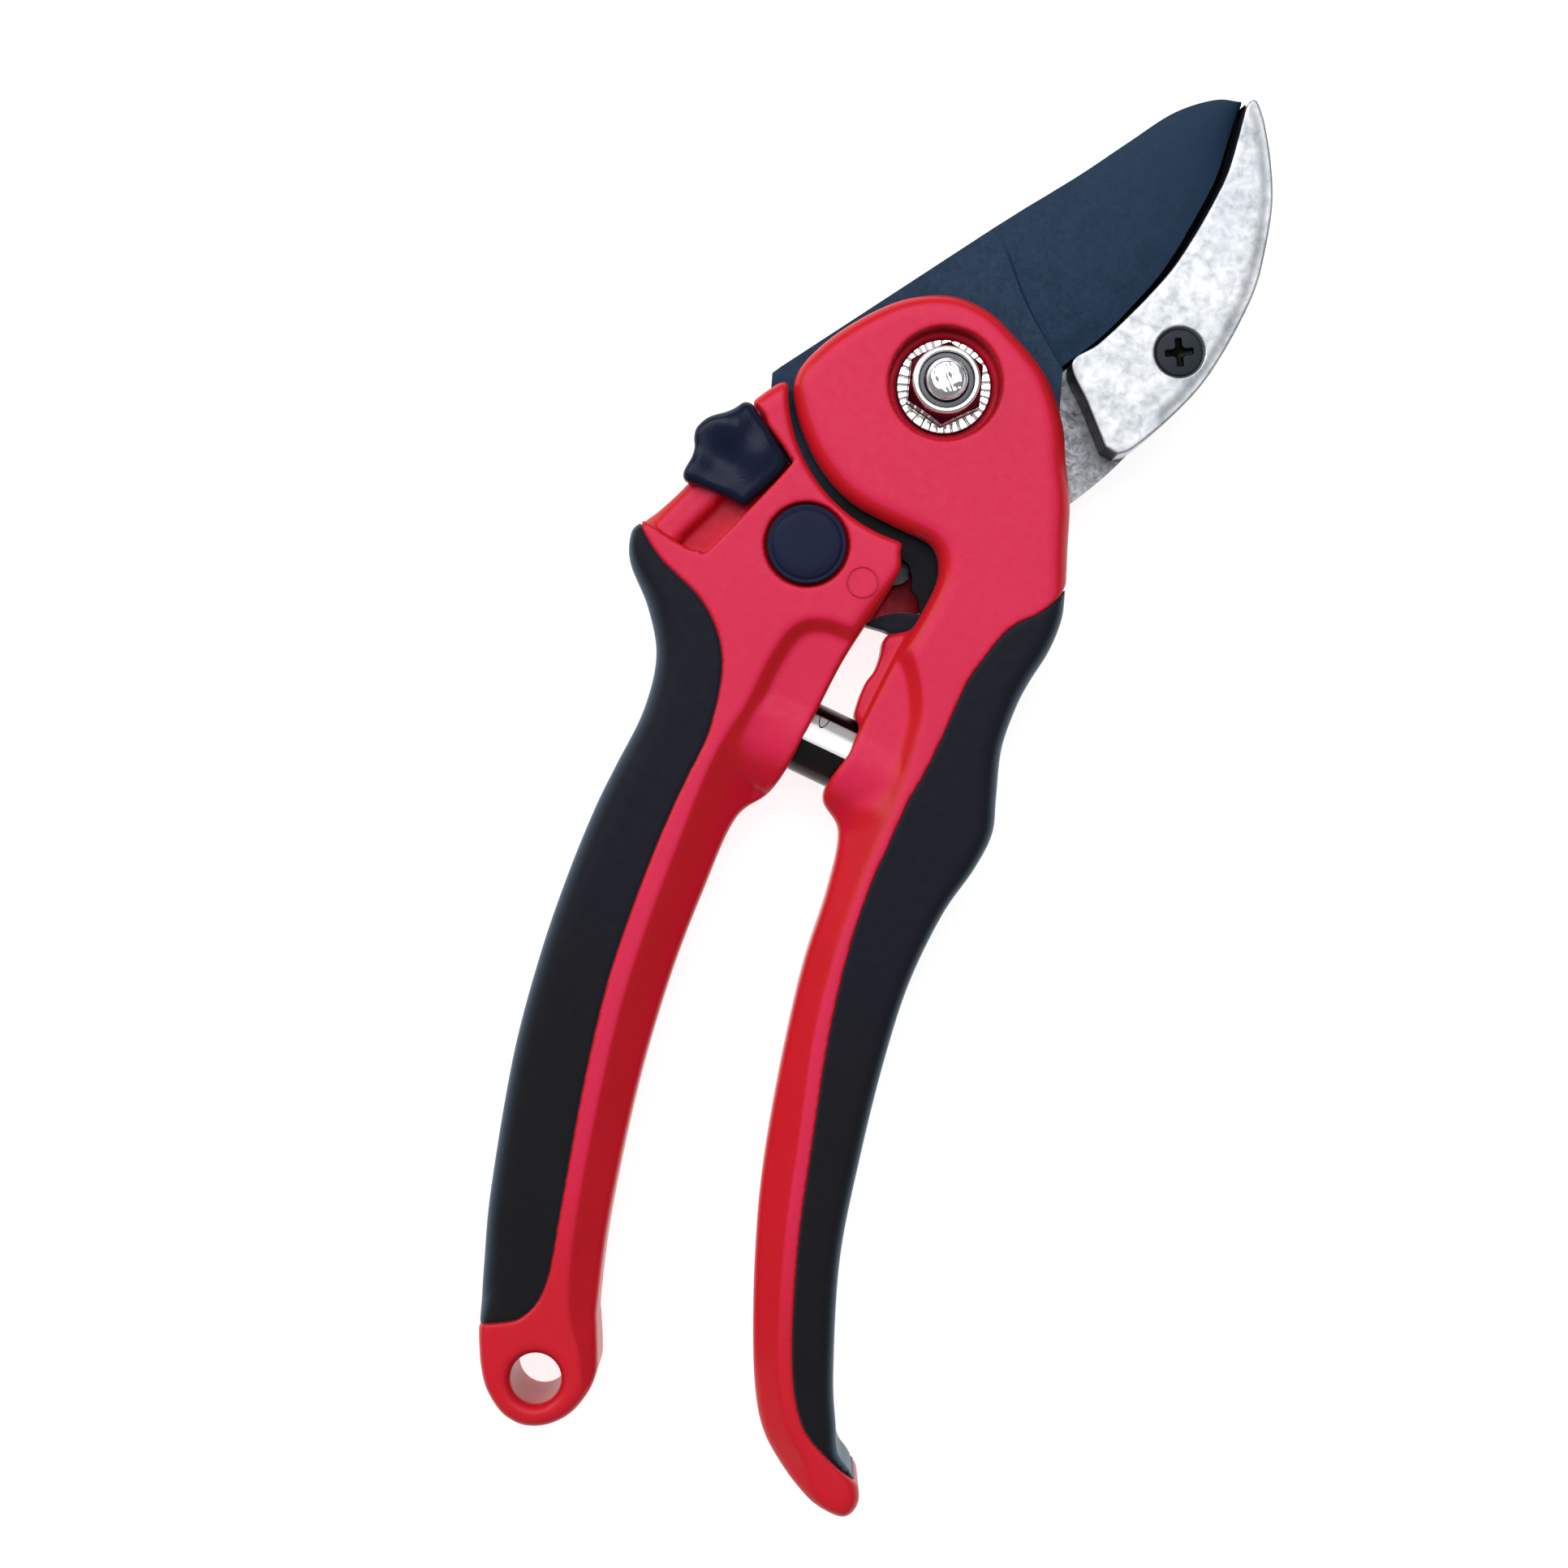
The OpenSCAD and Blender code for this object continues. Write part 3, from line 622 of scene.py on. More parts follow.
def between_z(a, b, c, d):
    """1 from z = b to z = c, fading out to a below and to d above."""
    def make_fac(nodes, links):
        z = axis_value(nodes, links, "Object", "Z")
        return product(nodes, links, remap(nodes, links, z, a * MM, b * MM),
                       remap(nodes, links, z, d * MM, c * MM))
    return make_fac


def pocket_floor_shade(nodes, links):
    """1 on level floors that lie inside the part, where painted shade is laid."""
    z = axis_value(nodes, links, "Object", "Z")
    return product(nodes, links, remap(nodes, links, z, 13.0 * MM, 12.4 * MM),
                   remap(nodes, links, z, 1.5 * MM, 2.5 * MM), facing(nodes, links, 0.6, 0.9))


def jaw_wall_shade(nodes, links):
    """1 on the jaw's upright walls that face the blade, where painted shade is laid."""
    side = remap(nodes, links, facing(nodes, links, 0.2, 0.55), 1, 0, "LINEAR")
    return product(nodes, links, side,
                   remap(nodes, links, axis_value(nodes, links, "Normal", "X"), 0.35, 0.05))


def spring_frame(nodes, links):
    """Object position turned and moved so that x runs along the spring's axis."""
    tc = nodes.new("ShaderNodeTexCoord")
    mp = nodes.new("ShaderNodeMapping")
    mp.vector_type = "POINT"
    turn = Matrix.Rotation(-SPRING_TURN, 3, "Z")
    mp.inputs["Rotation"].default_value = (0, 0, -SPRING_TURN)
    mp.inputs["Location"].default_value = -(turn @ P(*SPRING, MID))
    links.new(tc.outputs["Object"], mp.inputs["Vector"])
    return mp.outputs["Vector"]


def inner_turn_shade(nodes, links):
    """1 on the spring's inner turns, by distance from its axis; it places painted shade on them."""
    flat = nodes.new("ShaderNodeVectorMath")
    flat.operation = "MULTIPLY"
    flat.inputs[1].default_value = (0, 1, 1)
    links.new(spring_frame(nodes, links), flat.inputs[0])
    ln = nodes.new("ShaderNodeVectorMath")
    ln.operation = "LENGTH"
    links.new(flat.outputs[0], ln.inputs[0])
    return remap(nodes, links, ln.outputs["Value"], 5.2 * MM, 5.06 * MM, "LINEAR")


def painted_spring_reflections(m):
    """Painted reflection: pale, grey, brown, bright and near-black bands round the outer turn's
    upper side, standing in for what the strip mirrors.
    """
    N, L = m.node_tree.nodes, m.node_tree.links
    sep = N.new("ShaderNodeSeparateXYZ")
    L.new(spring_frame(N, L), sep.inputs["Vector"])
    v = remap(N, L, sep.outputs["Y"], -5.5 * MM, 5.5 * MM, "LINEAR")
    pale, grey, brown, black = (1.0, 0.94, 0.96), (0.5, 0.42, 0.44), (0.4, 0.15, 0.12), g(0.006)
    tone = ramp(N, L, v, [(0.0, pale), (0.145, pale), (0.155, black), (0.345, black),
                          (0.355, brown), (0.40, brown), (0.41, grey), (0.45, grey),
                          (0.465, g(1)), (0.815, g(1)), (0.83, black), (1.0, black)])
    sock = N["Principled BSDF"].inputs["Base Color"]
    L.new(mixc(N, L, 1.0, sock.links[0].from_socket, tone, "MULTIPLY"), sock)


# painted reflection bands on the spring's outer turn
painted_spring_reflections(SPRING_M)
# inner turns near-black: painted shade between the turns
tone_over(SPRING_M, inner_turn_shade, (0.012, 0.009, 0.009))
# jaw's walls facing the blade darkened: painted shade
tone_over(CAST, jaw_wall_shade, (0.045, 0.048, 0.054))
# coating lighter towards the tip: painted light
tone_over(COAT, along_y(6, 60, False), (0.021, 0.047, 0.090))
# tang in the channel behind the head darkened: painted shade
tone_over(COAT, along_y(-15, -21, False), (0.0015, 0.002, 0.004))
# hex sides of the nut tinted dark red: painted reflection of the red recess
tone_over(PLATED, between_z(12.5, 12.65, 16.68, 16.76), (0.10, 0.006, 0.016))
# screw darker below its top face, in the cross slot and countersink: painted shade
tone_over(BLACKED, between_z(11, 11.5, 14.8, 14.95), (0.0012, 0.0015, 0.002))
# flat faces less pink towards the bottom: painted fall-off of the overhead light
tone_over(RED, along_y(-110, -142), (0.66, 0.012, 0.026))
# floors of recesses darker: painted shade
tone_over(RED, pocket_floor_shade, (0.62, 0.006, 0.034))
tone_over(GRIP, along_y(-105, -75), (0.009, 0.0096, 0.018))
# plate darker where it shows in the channel: painted shade
tone_over(PLATE_M, along_y(-18, -22, False), (0.05, 0.055, 0.06))
NYLON = plastic("nylon", (0.10, 0.105, 0.12), (0.14, 0.15, 0.17),
                rough=(0.3, 0.45), grain=0.08)

# ------------------------------------------------------------- plastic bodies
HANDLE_GRID = 0.4
BORE_R = 5.56               # the spring's bore in either handle
BORE_WALL_R = 6.35
CAP_HOLE_R = 5.85
NUT_RECESS_R = 7.85


def spring_uv(G):
    """Position along and across the spring's axis."""
    x, y = G.X - SPRING[0], G.Y - SPRING[1]
    return x * SPRING_DIR[0] + y * SPRING_DIR[1], -x * SPRING_DIR[1] + y * SPRING_DIR[0]


def spring_bore(G, a, b):
    """Bore for the spring, from a to b along its axis."""
    u, v = spring_uv(G)
    return np.maximum(np.hypot(v, G.Z - MID) - BORE_R, np.maximum(a - u, u - b))


def turned(G, cx, cy):
    """Position across and along the lock's rail."""
    x, y = G.X - cx, G.Y - cy
    c, s = math.cos(RAIL_TILT), math.sin(RAIL_TILT)
    return x * c - y * s, x * s + y * c


def sunk(G, f, scoop):
    """Hollow beside the spring, which turns into a slanted face further down."""
    floor, low_depth = 14.1, 6.4
    s = np.maximum(-G.poly(scoop), 0)
    low = step(G.Y, -50.5, -58.5)
    hollow = (THICK - floor) * step(s, 0, 3.0) + 0.05 * np.clip(s - 3, 0, 6)
    top = THICK - hollow * (1 - low) - np.minimum(0.86 * s, low_depth) * low
    # enough wall is left over the spring's bore; it falls more gently on the lower side
    _, v = spring_uv(G)
    v = np.where(v < 0, v / 1.5, v)
    wall = (MID + np.sqrt(np.maximum(BORE_WALL_R ** 2 - v * v, 0))
            - 1.5 * np.maximum(np.abs(v) - BORE_WALL_R, 0))
    top = smax(top, wall, 1.0 + 2.0 * step(-v, 1, 4))
    return smax(f, (np.abs(G.Z - MID) - (top - MID)) * 0.8, 0.8)


def cut(f, hole, k):
    """Takes the hole out of the field, its rim rounded by k."""
    return smax(f, -hole, k)


def make_handle(G, side, body, f, red, grip_field):
    """Hard shell and soft grip of one handle, parted along the grip's outline."""
    v, q = G.mesh(red)
    if side == "Left":
        v, q = with_ring(v, q, EJECTOR_MARK, 2.1, 0.11)
    low = side.lower()
    make(side + "_Handle_Body", v, q, body, "red_plastic", [low + "_handle"], RED)
    v, q = G.mesh(smax(f + 0.1, grip_field, 0.35))
    make(side + "_Grip_Cushion", v, q, body, "grip_rubber", [low + "_grip"], GRIP)


def build_right():
    outer = rail(RIGHT_GRIP)
    full = ring(RIGHT_IN + [(41.3, -152.6), RIGHT_OUT[25]] + RIGHT_GRIP[::-1] + RIGHT_OUT[6::-1])
    grip = np.vstack([rail(RIGHT_OUT, 7, 24), rail(RIGHT_GRIP + [(44, -149)], 18)[::-1],
                      outer[::-1] + (3, 0)])
    G = Grid((-22, -156, -0.8), (45, 14.5, 16.9), HANDLE_GRID)
    near_grip = G.line(outer)
    right = step(G.X, 8, 20) * step(G.Y, -24, -12)
    low = step(G.Y, -50, -66)
    r = 2.9 + 0.7 * right + 0.4 * step(near_grip, 9, 2) * step(G.Y, -24, -34) - 0.6 * low
    f = sunk(G, slabf(G.poly(full), G.Z, 0, THICK, r), ring(RIGHT_SCOOP, 6))
    dg = G.poly(grip)
    # rib on the inner side, at mid height below the bumper
    rib = slabf(G.poly(ring([(9, -34), (5.2, -34.8), (4.2, -36.2), (4.5, -38.2), (4.5, -40.6),
                             (3.9, -42.6), (3.8, -46), (4.4, -48), (8, -49)], 5)),
                G.Z, 3.2, 12.7, 1.0)
    red = smin(f, rib, 0.8)
    # room for the blade's and the left handle's heads, then for the plate
    red = cut(red, np.maximum(G.disc(PIVOT, 22.3), G.Z - 11.15), 0.5)
    red = cut(red, np.maximum(G.disc(PIVOT, 27.4), np.abs(G.Z - 6.3) - 1.8), 0.3)
    # the nut's recess and bore, the rear cap, the spring
    red = cut(red, np.maximum(G.disc(PIVOT, NUT_RECESS_R), 12.0 - G.Z), 0.4)
    red = cut(red, G.disc(PIVOT, 6.72), 0.2)
    red = cut(red, np.maximum(G.disc(CAP_R, CAP_HOLE_R), G.Z - 2), 0.3)
    red = cut(red, spring_bore(G, -6, 11.3), 0.3)
    red = smax(red, -dg - 0.03, 0.2)
    make_handle(G, "Right", BLADE, f, red, dg)


def slider_floor(G):
    """Floor of the slider's recess: a flat groove with a raised rail outside it."""
    across, _ = turned(G, -23.4, -27.4)
    rail_top = (13.5 - 0.55 * np.clip((across + 2.3) / 1.1, 0, 1)
                - 1.2 * np.clip((-4.4 - across) / 1.6, 0, 1.4) ** 2)
    return np.where(across < -1.15, rail_top, 11.3)


def with_ring(verts, quads, c, r, thick):
    """Adds a fine raised ring, the mark of an ejector pin."""
    n, m = 48, 8
    base = len(verts)
    ring_v = [(c[0] + (r + thick * math.cos(b)) * math.cos(a),
               c[1] + (r + thick * math.cos(b)) * math.sin(a),
               c[2] + thick * 0.6 * math.sin(b))
              for a in np.arange(n) * 2 * math.pi / n for b in np.arange(m) * 2 * math.pi / m]
    ring_q = [[base + i * m + k, base + (i + 1) % n * m + k,
               base + (i + 1) % n * m + (k + 1) % m, base + i * m + (k + 1) % m]
              for i in range(n) for k in range(m)]
    return np.vstack([verts, ring_v]), np.vstack([quads, ring_q])


def build_left():
    outer = rail(LEFT_GRIP)
    full = ring(LEFT_OUT[:10] + LEFT_GRIP[:-1] + LEFT_OUT[22:] + [(-7.9, -155.95)]
                + LEFT_IN[::-1])
    grip = np.vstack([rail(LEFT_OUT, 9, 22), outer[::-1] - (3, 0)])
    G = Grid((-36, -158, -0.8), (22.5, 14.5, 16.9), HANDLE_GRID)
    dg = G.poly(grip)
    head = step(G.Y, -34, -24) * step(G.X, -16, -10)
    low = step(G.Y, -40, -60)
    outside = step(dg, 2, -6) * step(G.Y, -34, -44)
    r = 2.4 - 1.3 * head - 0.3 * low + 2.2 * outside
    f = sunk(G, slabf(G.poly(full), G.Z, 0, THICK, r), ring(LEFT_SCOOP, 6))
    # room for the right handle's head, then for the blade, then the bolt's head
    red = cut(f, np.maximum(G.disc((0.6, -0.6), 22.1), 4.8 - G.Z), 1.3)
    red = cut(red, np.maximum(G.disc(PIVOT, 24.6), np.abs(G.Z - 9.55) - 1.75), 0.3)
    red = cut(red, np.maximum(G.disc(PIVOT, NUT_RECESS_R), G.Z - 5), 0.5)
    # the slider's ledge and the slot of its bolt
    red = cut(red, np.maximum(G.poly(ring(LEDGE, 6)), slider_floor(G) - G.Z), 0.3)
    bx, by = turned(G, -24.2, -20.5)
    slot = np.maximum(np.maximum(np.abs(bx) - 2.8, np.abs(by + 1.5) - 10), np.abs(G.Z - 9.5) - 1.5)
    red = np.maximum(red, -slot)
    # the front cap, the hanging hole, the spring
    red = cut(red, np.maximum(G.disc(CAP_L, CAP_HOLE_R), 14.1 - G.Z), 0.35)
    red = cut(red, G.disc(HANG, 3.55), 1.6)
    red = cut(red, spring_bore(G, -11, 6), 0.3)
    red = smax(red, -dg - 0.03, 0.2)
    # thin web behind the gap above the bumper
    web = slabf(G.poly([(1, -24), (5, -24), (7.9, -26), (7.8, -30.4), (6.4, -33.4), (0.5, -34.8)]),
                G.Z, 0.7, 3.0, 0.4)
    make_handle(G, "Left", JAW, f, np.minimum(red, web), dg)


build_right()
build_left()


# ---------------------------------------------------------------- steel parts
BOLT_BORE_R = 4.0


def build_blade():
    """Ground face as a grid from back to edge, nu steps from the tip to the grind line."""
    nu, nv = 64, 14
    B, E, S = rail(BLADE_BACK), rail(BLADE_EDGE), rail(GRIND)
    zb, zt, edge_top = 8.1, 11.0, 9.15
    bm = bmesh.new()
    grid = []
    for i in range(nu + 1):
        u = i / nu
        b = B[int(round(u * (len(B) - 1)))]
        e = E[int(round(u * (len(E) - 1)))]
        row = []
        length = float(np.hypot(*(e - b)))
        strip = min(0.8, 0.45 * length) / length
        for k in range(nv + 1):
            v = 1.0 if k == nv else k / (nv - 1) * (1 - strip)
            p = (1 - v) * b + v * e
            s = S[int(round(v * (len(S) - 1)))]
            q = (1 - v) * B[-1] + v * E[-1]
            p = p + (s - q) * step(np.array(u), 0.35, 1.0)
            slope = 0.12 * v + 0.88 * v ** 1.7
            z = zb + 0.35 if k == nv else zt - (zt - edge_top) * slope
            if i == nu:
                z = zt
            row.append(bm.verts.new((p[0], p[1], float(z))))
        grid.append(row)
    # a narrow ramp just before the grind line
    for k in range(nv + 1):
        a, b = grid[nu - 1][k], grid[nu][k]
        d = (a.co - b.co)
        d.z = 0
        width = 0.35 + 2.2 * max(0.0, 1 - k / nv * 3.0)
        if d.length > width:
            d = d.normalized() * width
        z = a.co.z
        a.co = b.co + d
        a.co.z = z
    for i in range(nu):
        for k in range(nv):
            bm.faces.new((grid[i][k], grid[i + 1][k], grid[i + 1][k + 1], grid[i][k + 1]))
    # flat part behind the line
    body = [bm.verts.new((x, y, zt)) for x, y in BLADE_BODY]
    edges = loop_edges(bm, grid[nu][::-1] + body)
    edges += loop_edges(bm, [bm.verts.new((x, y, zt)) for x, y in circle(PIVOT, BOLT_BORE_R)])
    thicken(bm, edges, zb)
    # strip along the cutting edge gets the near-black material: painted shade where the blade meets
    # the jaw
    from_bm("Blade", bm, BLADE, "black_coating", ["blade"], COAT, sharp=12,
            second=(EDGE, lambda x, y, z, i: y > 8.4 and 8.2 < z < 9.1))


def build_jaw():
    inner, outer = rail(JAW_IN), rail(JAW_OUT)
    loop = np.vstack([inner, outer[::-1]])
    h = 0.2
    G = Grid((14.5, -2.2, 7.2), (37.2, 52.6, 16), h)
    z_low, z_top = 7.8, 15.3
    f = slabf(G.poly(loop), G.Z, z_low, z_top, 0.2)
    # the outer edge falls off softly
    band = z_top - 0.2 * (1 - step(G.line(outer[:80]), 0.4, 2.4))
    f = smax(f, (G.Z - band) * 0.9, 0.12)
    # countersunk seat of the screw
    f = cut(f, np.maximum(G.disc(SCREW, 3.5), 15.0 - G.Z), 0.12)
    f = cut(f, G.disc(SCREW, 0) - np.clip(2 + (G.Z - 13.2) * 0.83, 2, 3.5), 0.1)
    v, q = G.mesh(f)
    # thin near-black shim under the inner edge, painted shade in the gap between blade and jaw; it
    # rises at the tip to close the notch there
    line = inner[2:86]
    t = np.gradient(line, axis=0)
    t /= np.hypot(t[:, 0], t[:, 1])[:, None]
    out = np.stack([t[:, 1], -t[:, 0]], 1)
    n = len(line)
    tip = np.clip(1 - np.arange(n) / 9, 0, 1)
    top, left, right, low = 7.98 + 2.8 * tip, 0.5 - 0.1 * tip, 0.55, 7.4
    rows = [np.column_stack([line + out * np.reshape(o, (-1, 1)), z + np.zeros(n)])
            for o, z in ((-left, low), (right, low), (right, top), (-left, top))]
    base, first = len(v), len(q)
    quads = [[base + a * n + i, base + a * n + i + 1, base + b * n + i + 1, base + b * n + i]
             for a, b in ((0, 1), (1, 2), (2, 3), (3, 0)) for i in range(n - 1)]
    quads += [[base + k * n for k in (0, 1, 2, 3)], [base + k * n + n - 1 for k in (3, 2, 1, 0)]]
    v, q = np.vstack([v] + rows), np.vstack([q, quads])
    make("Counter_Jaw", v, q, JAW, "cast_alloy", ["counter_jaw"], CAST,
         second=(EDGE, lambda x, y, z, i: i >= first))


def build_plate():
    bm = prism_bm(ring(PLATE, 6).tolist(), 4.8, 7.8, [circle(PIVOT, BOLT_BORE_R)])
    from_bm("Jaw_Plate", bm, JAW, "plain_steel", ["jaw_plate"], PLATE_M, sharp=30)


build_blade()
build_jaw()
build_plate()


# ------------------------------------------------------------ pivot hardware
HEX_HALF = 5.0              # half the width across flats, nut and bolt


def hexagon(G, turn):
    return np.maximum.reduce([np.abs(G.X * math.cos(a + turn) + G.Y * math.sin(a + turn))
                              for a in (0, math.pi / 3, 2 * math.pi / 3)]) - HEX_HALF


def build_nut():
    h = 0.11
    G = Grid((-7.2, -7.2, 10.6), (7.2, 7.2, 19.2), h)
    rad = G.disc(PIVOT, 0)
    f = slabf(hexagon(G, math.radians(14.6)), G.Z, 11.0, 17.0, 0.12)
    f = smax(f, (rad - 5.15 + (G.Z - 16.3)) * 0.7, 0.15)
    # flange with its slightly uneven teeth
    teeth = 34
    ang = np.arctan2(G.Y, G.X)
    tooth = np.abs((ang / (2 * math.pi) * teeth + 0.2 * np.sin(ang * 5)) % 1 - 0.5) * rad * 0.185
    groove = 0.16 * np.clip(1 - tooth / 0.12, 0, 1) * (rad > 5.0)
    flange = np.maximum(rad - 6.62 + 0.4 * groove, G.Z - 12.45 + groove)
    f = np.minimum(f, np.maximum(flange, 11.0 - G.Z))
    # collar, the nylon ring's seat and the bore
    f = smin(f, slabf(rad - 4.72, G.Z, 15.5, 18.6, 0.42), 0.1)
    f = cut(f, np.maximum(rad - 3.85, 16.6 - G.Z), 0.2)
    f = cut(f, rad - 3.0, 0.1)
    v, q = G.mesh(f)
    make("Pivot_Nut", v, q, BLADE, "plated_steel", ["pivot_nut"], PLATED)
    prof = [(3.02, 16.5), (3.02, 17.9), (3.15, 18.15), (3.5, 18.2), (3.75, 18.1), (3.82, 17.8),
            (3.82, 16.5), (3.02, 16.5)]
    from_bm("Nut_Nylon_Ring", weld(*lathe(prof, PIVOT, 72)), BLADE, "nylon",
            ["nut_nylon_insert"], NYLON, sharp=50)


def build_bolt():
    h = 0.13
    G = Grid((-6.4, -6.4, 0.2), (6.4, 6.4, 20.8), h)
    rad = G.disc(PIVOT, 0)
    ang = np.arctan2(G.Y, G.X)
    # thread of 1 mm pitch, its end chamfered, worn and nicked
    saw = np.abs(((G.Z - ang / (2 * math.pi)) % 1) - 0.5) * 2
    thread = rad - (2.62 + 0.32 * saw)
    f = np.maximum(thread * 0.8, np.maximum(10.6 - G.Z, G.Z - 20.3))
    f = smax(f, (rad - 2.45 + (G.Z - 19.9)) * 0.7, 0.2)
    worn = 0.05 * np.sin(G.X * 2.3 + 1.0) * np.cos(G.Y * 2.9) + 0.04 * np.sin(G.X * 5.1 + G.Y * 4.3)
    nick = 0.35 * np.exp(-((G.X - 1.9) / 0.35) ** 2 - ((G.Y + 0.6) / 0.3) ** 2)
    f = smax(f, G.Z - 20.22 + worn + nick, 0.1)
    # shank and head
    f = np.minimum(f, slabf(rad - 3.93, G.Z, 4.0, 10.95, 0.1))
    head = slabf(hexagon(G, 0.3), G.Z, 0.7, 4.5, 0.2)
    head = smax(head, (rad - HEX_HALF - (G.Z - 0.7) * 1.2) * 0.64, 0.2)
    v, q = G.mesh(np.minimum(f, head))
    make("Pivot_Bolt", v, q, BLADE, "plated_steel", ["pivot_bolt"], PLATED)


def build_screw():
    h = 0.1
    G = Grid((SCREW[0] - 3.8, SCREW[1] - 3.8, 11.5), (SCREW[0] + 3.8, SCREW[1] + 3.8, 15.9), h)
    rad = G.disc(SCREW, 0)
    f = np.maximum(rad - np.clip(1.96 + (G.Z - 13.2) * 0.8, 1.96, 3.4), 11.9 - G.Z)
    f = smax(f, G.Z - 15.12 + 0.02 * rad ** 2, 0.2)
    # cross slot, deepest in the middle
    x, y = G.X - SCREW[0], G.Y - SCREW[1]
    a = math.radians(25)
    u, w = x * math.cos(a) + y * math.sin(a), -x * math.sin(a) + y * math.cos(a)
    depth = 13.6 + np.abs(rad) * 0.42
    reach, half = 1.95, 0.42 + (G.Z - 15) * 0.1
    cross = np.minimum(np.maximum(np.abs(u) - reach, np.abs(w) - half),
                       np.maximum(np.abs(w) - reach, np.abs(u) - half))
    cross = smin(cross, rad - 0.85, 0.2)
    v, q = G.mesh(cut(f, np.maximum(cross, depth - G.Z), 0.12))
    make("Jaw_Screw", v, q, JAW, "black_coating", ["jaw_screw"], BLACKED)


def build_caps():
    prof = [(0, 16.72), (3.2, 16.70), (4.5, 16.62), (4.75, 16.5), (4.85, 16.28), (5.0, 16.22),
            (5.15, 16.3), (5.37, 16.25), (5.52, 15.95), (5.52, 14.2), (0, 14.2)]
    from_bm("Left_Rivet_Cap", weld(*lathe(prof, CAP_L, 96)), JAW, "black_plastic",
            ["front_rivet_cap"], CAP, sharp=50)
    prof = [(0, 1.8), (5.6, 1.8), (5.6, 0.35), (5.4, 0.15), (4.9, 0.1), (4.7, 0.3), (3.2, 0.22),
            (0, 0.2)]
    from_bm("Right_Rivet_Cap", weld(*lathe(prof, CAP_R, 96)), BLADE, "black_plastic",
            ["rear_rivet_cap"], CAP, sharp=50)


build_nut()
build_bolt()
build_screw()
build_caps()


# ---------------------------------------------------------------- lock slider
def build_slider():
    h = 0.22
    G = Grid((-32.5, -28, 10.6), (-15, -9.4, 18.4), h)
    out = ring([(-24.3, -11.8), (-25.4, -12), (-26.2, -13.1), (-27.2, -14.1), (-29, -15.3),
                (-29.9, -16.4), (-30.4, -17.7), (-30.2, -19), (-29.7, -20.2), (-29.6, -21.7),
                (-29.9, -23.5), (-29.8, -24.5), (-29.2, -25), (-27.6, -25), (-25.9, -25),
                (-23.9, -25.1), (-22.2, -25.3), (-20.7, -25.5), (-20, -24.8), (-18.8, -22.7),
                (-17.4, -20.1), (-16.95, -18.6), (-17, -17.7), (-17.6, -16.8), (-19.1, -15.7),
                (-21.3, -13.9), (-23.2, -12.6)], 5)
    across, along = turned(G, -24.6, -19)
    # crown of the thumb piece: two swells with a dip between, falling off to the outer side
    crown = (16.3 - 0.5 * step(across, -1, -6.5) - 0.4 * step(across, 2, 6)
             + 1.1 * np.exp(-((across + 2.6) / 2.6) ** 2 - ((along - 2.6) / 2.4) ** 2)
             + 0.5 * np.exp(-((across - 3.0) / 2.6) ** 2 - ((along - 2.4) / 2.6) ** 2)
             - 0.9 * np.exp(-((across + 0.2) / 3.2) ** 2 - ((along + 2.0) / 2.4) ** 2)
             + 0.3 * np.exp(-((across + 3.2) / 2.2) ** 2 - ((along + 5.4) / 1.6) ** 2))
    v, q = G.mesh(slabf(G.poly(out), G.Z, 11.6, crown, 1.25))
    make("Lock_Slider", v, q, LOCK, "black_plastic", ["lock_slider"], GLOSS)
    bm = prism_bm([(-2.5, -4.4), (2.5, -4.4), (2.5, 5.2), (1.4, 6.6), (-1.4, 6.6), (-2.5, 5.2)],
                  8.2, 10.8)
    edges = [e for e in bm.edges if e.is_manifold and e.calc_face_angle(0) > math.radians(35)]
    bmesh.ops.bevel(bm, geom=edges, offset=0.25, segments=2, profile=0.6, affect="EDGES",
                    clamp_overlap=True)
    c, s = math.cos(RAIL_TILT), math.sin(RAIL_TILT)
    for w in bm.verts:
        x, y = w.co.x, w.co.y
        w.co.x = -24.2 + x * c + y * s
        w.co.y = -20.5 - x * s + y * c
    from_bm("Lock_Bolt", bm, LOCK, "plain_steel", ["lock_bolt"], PLATE_M, sharp=30)


build_slider()


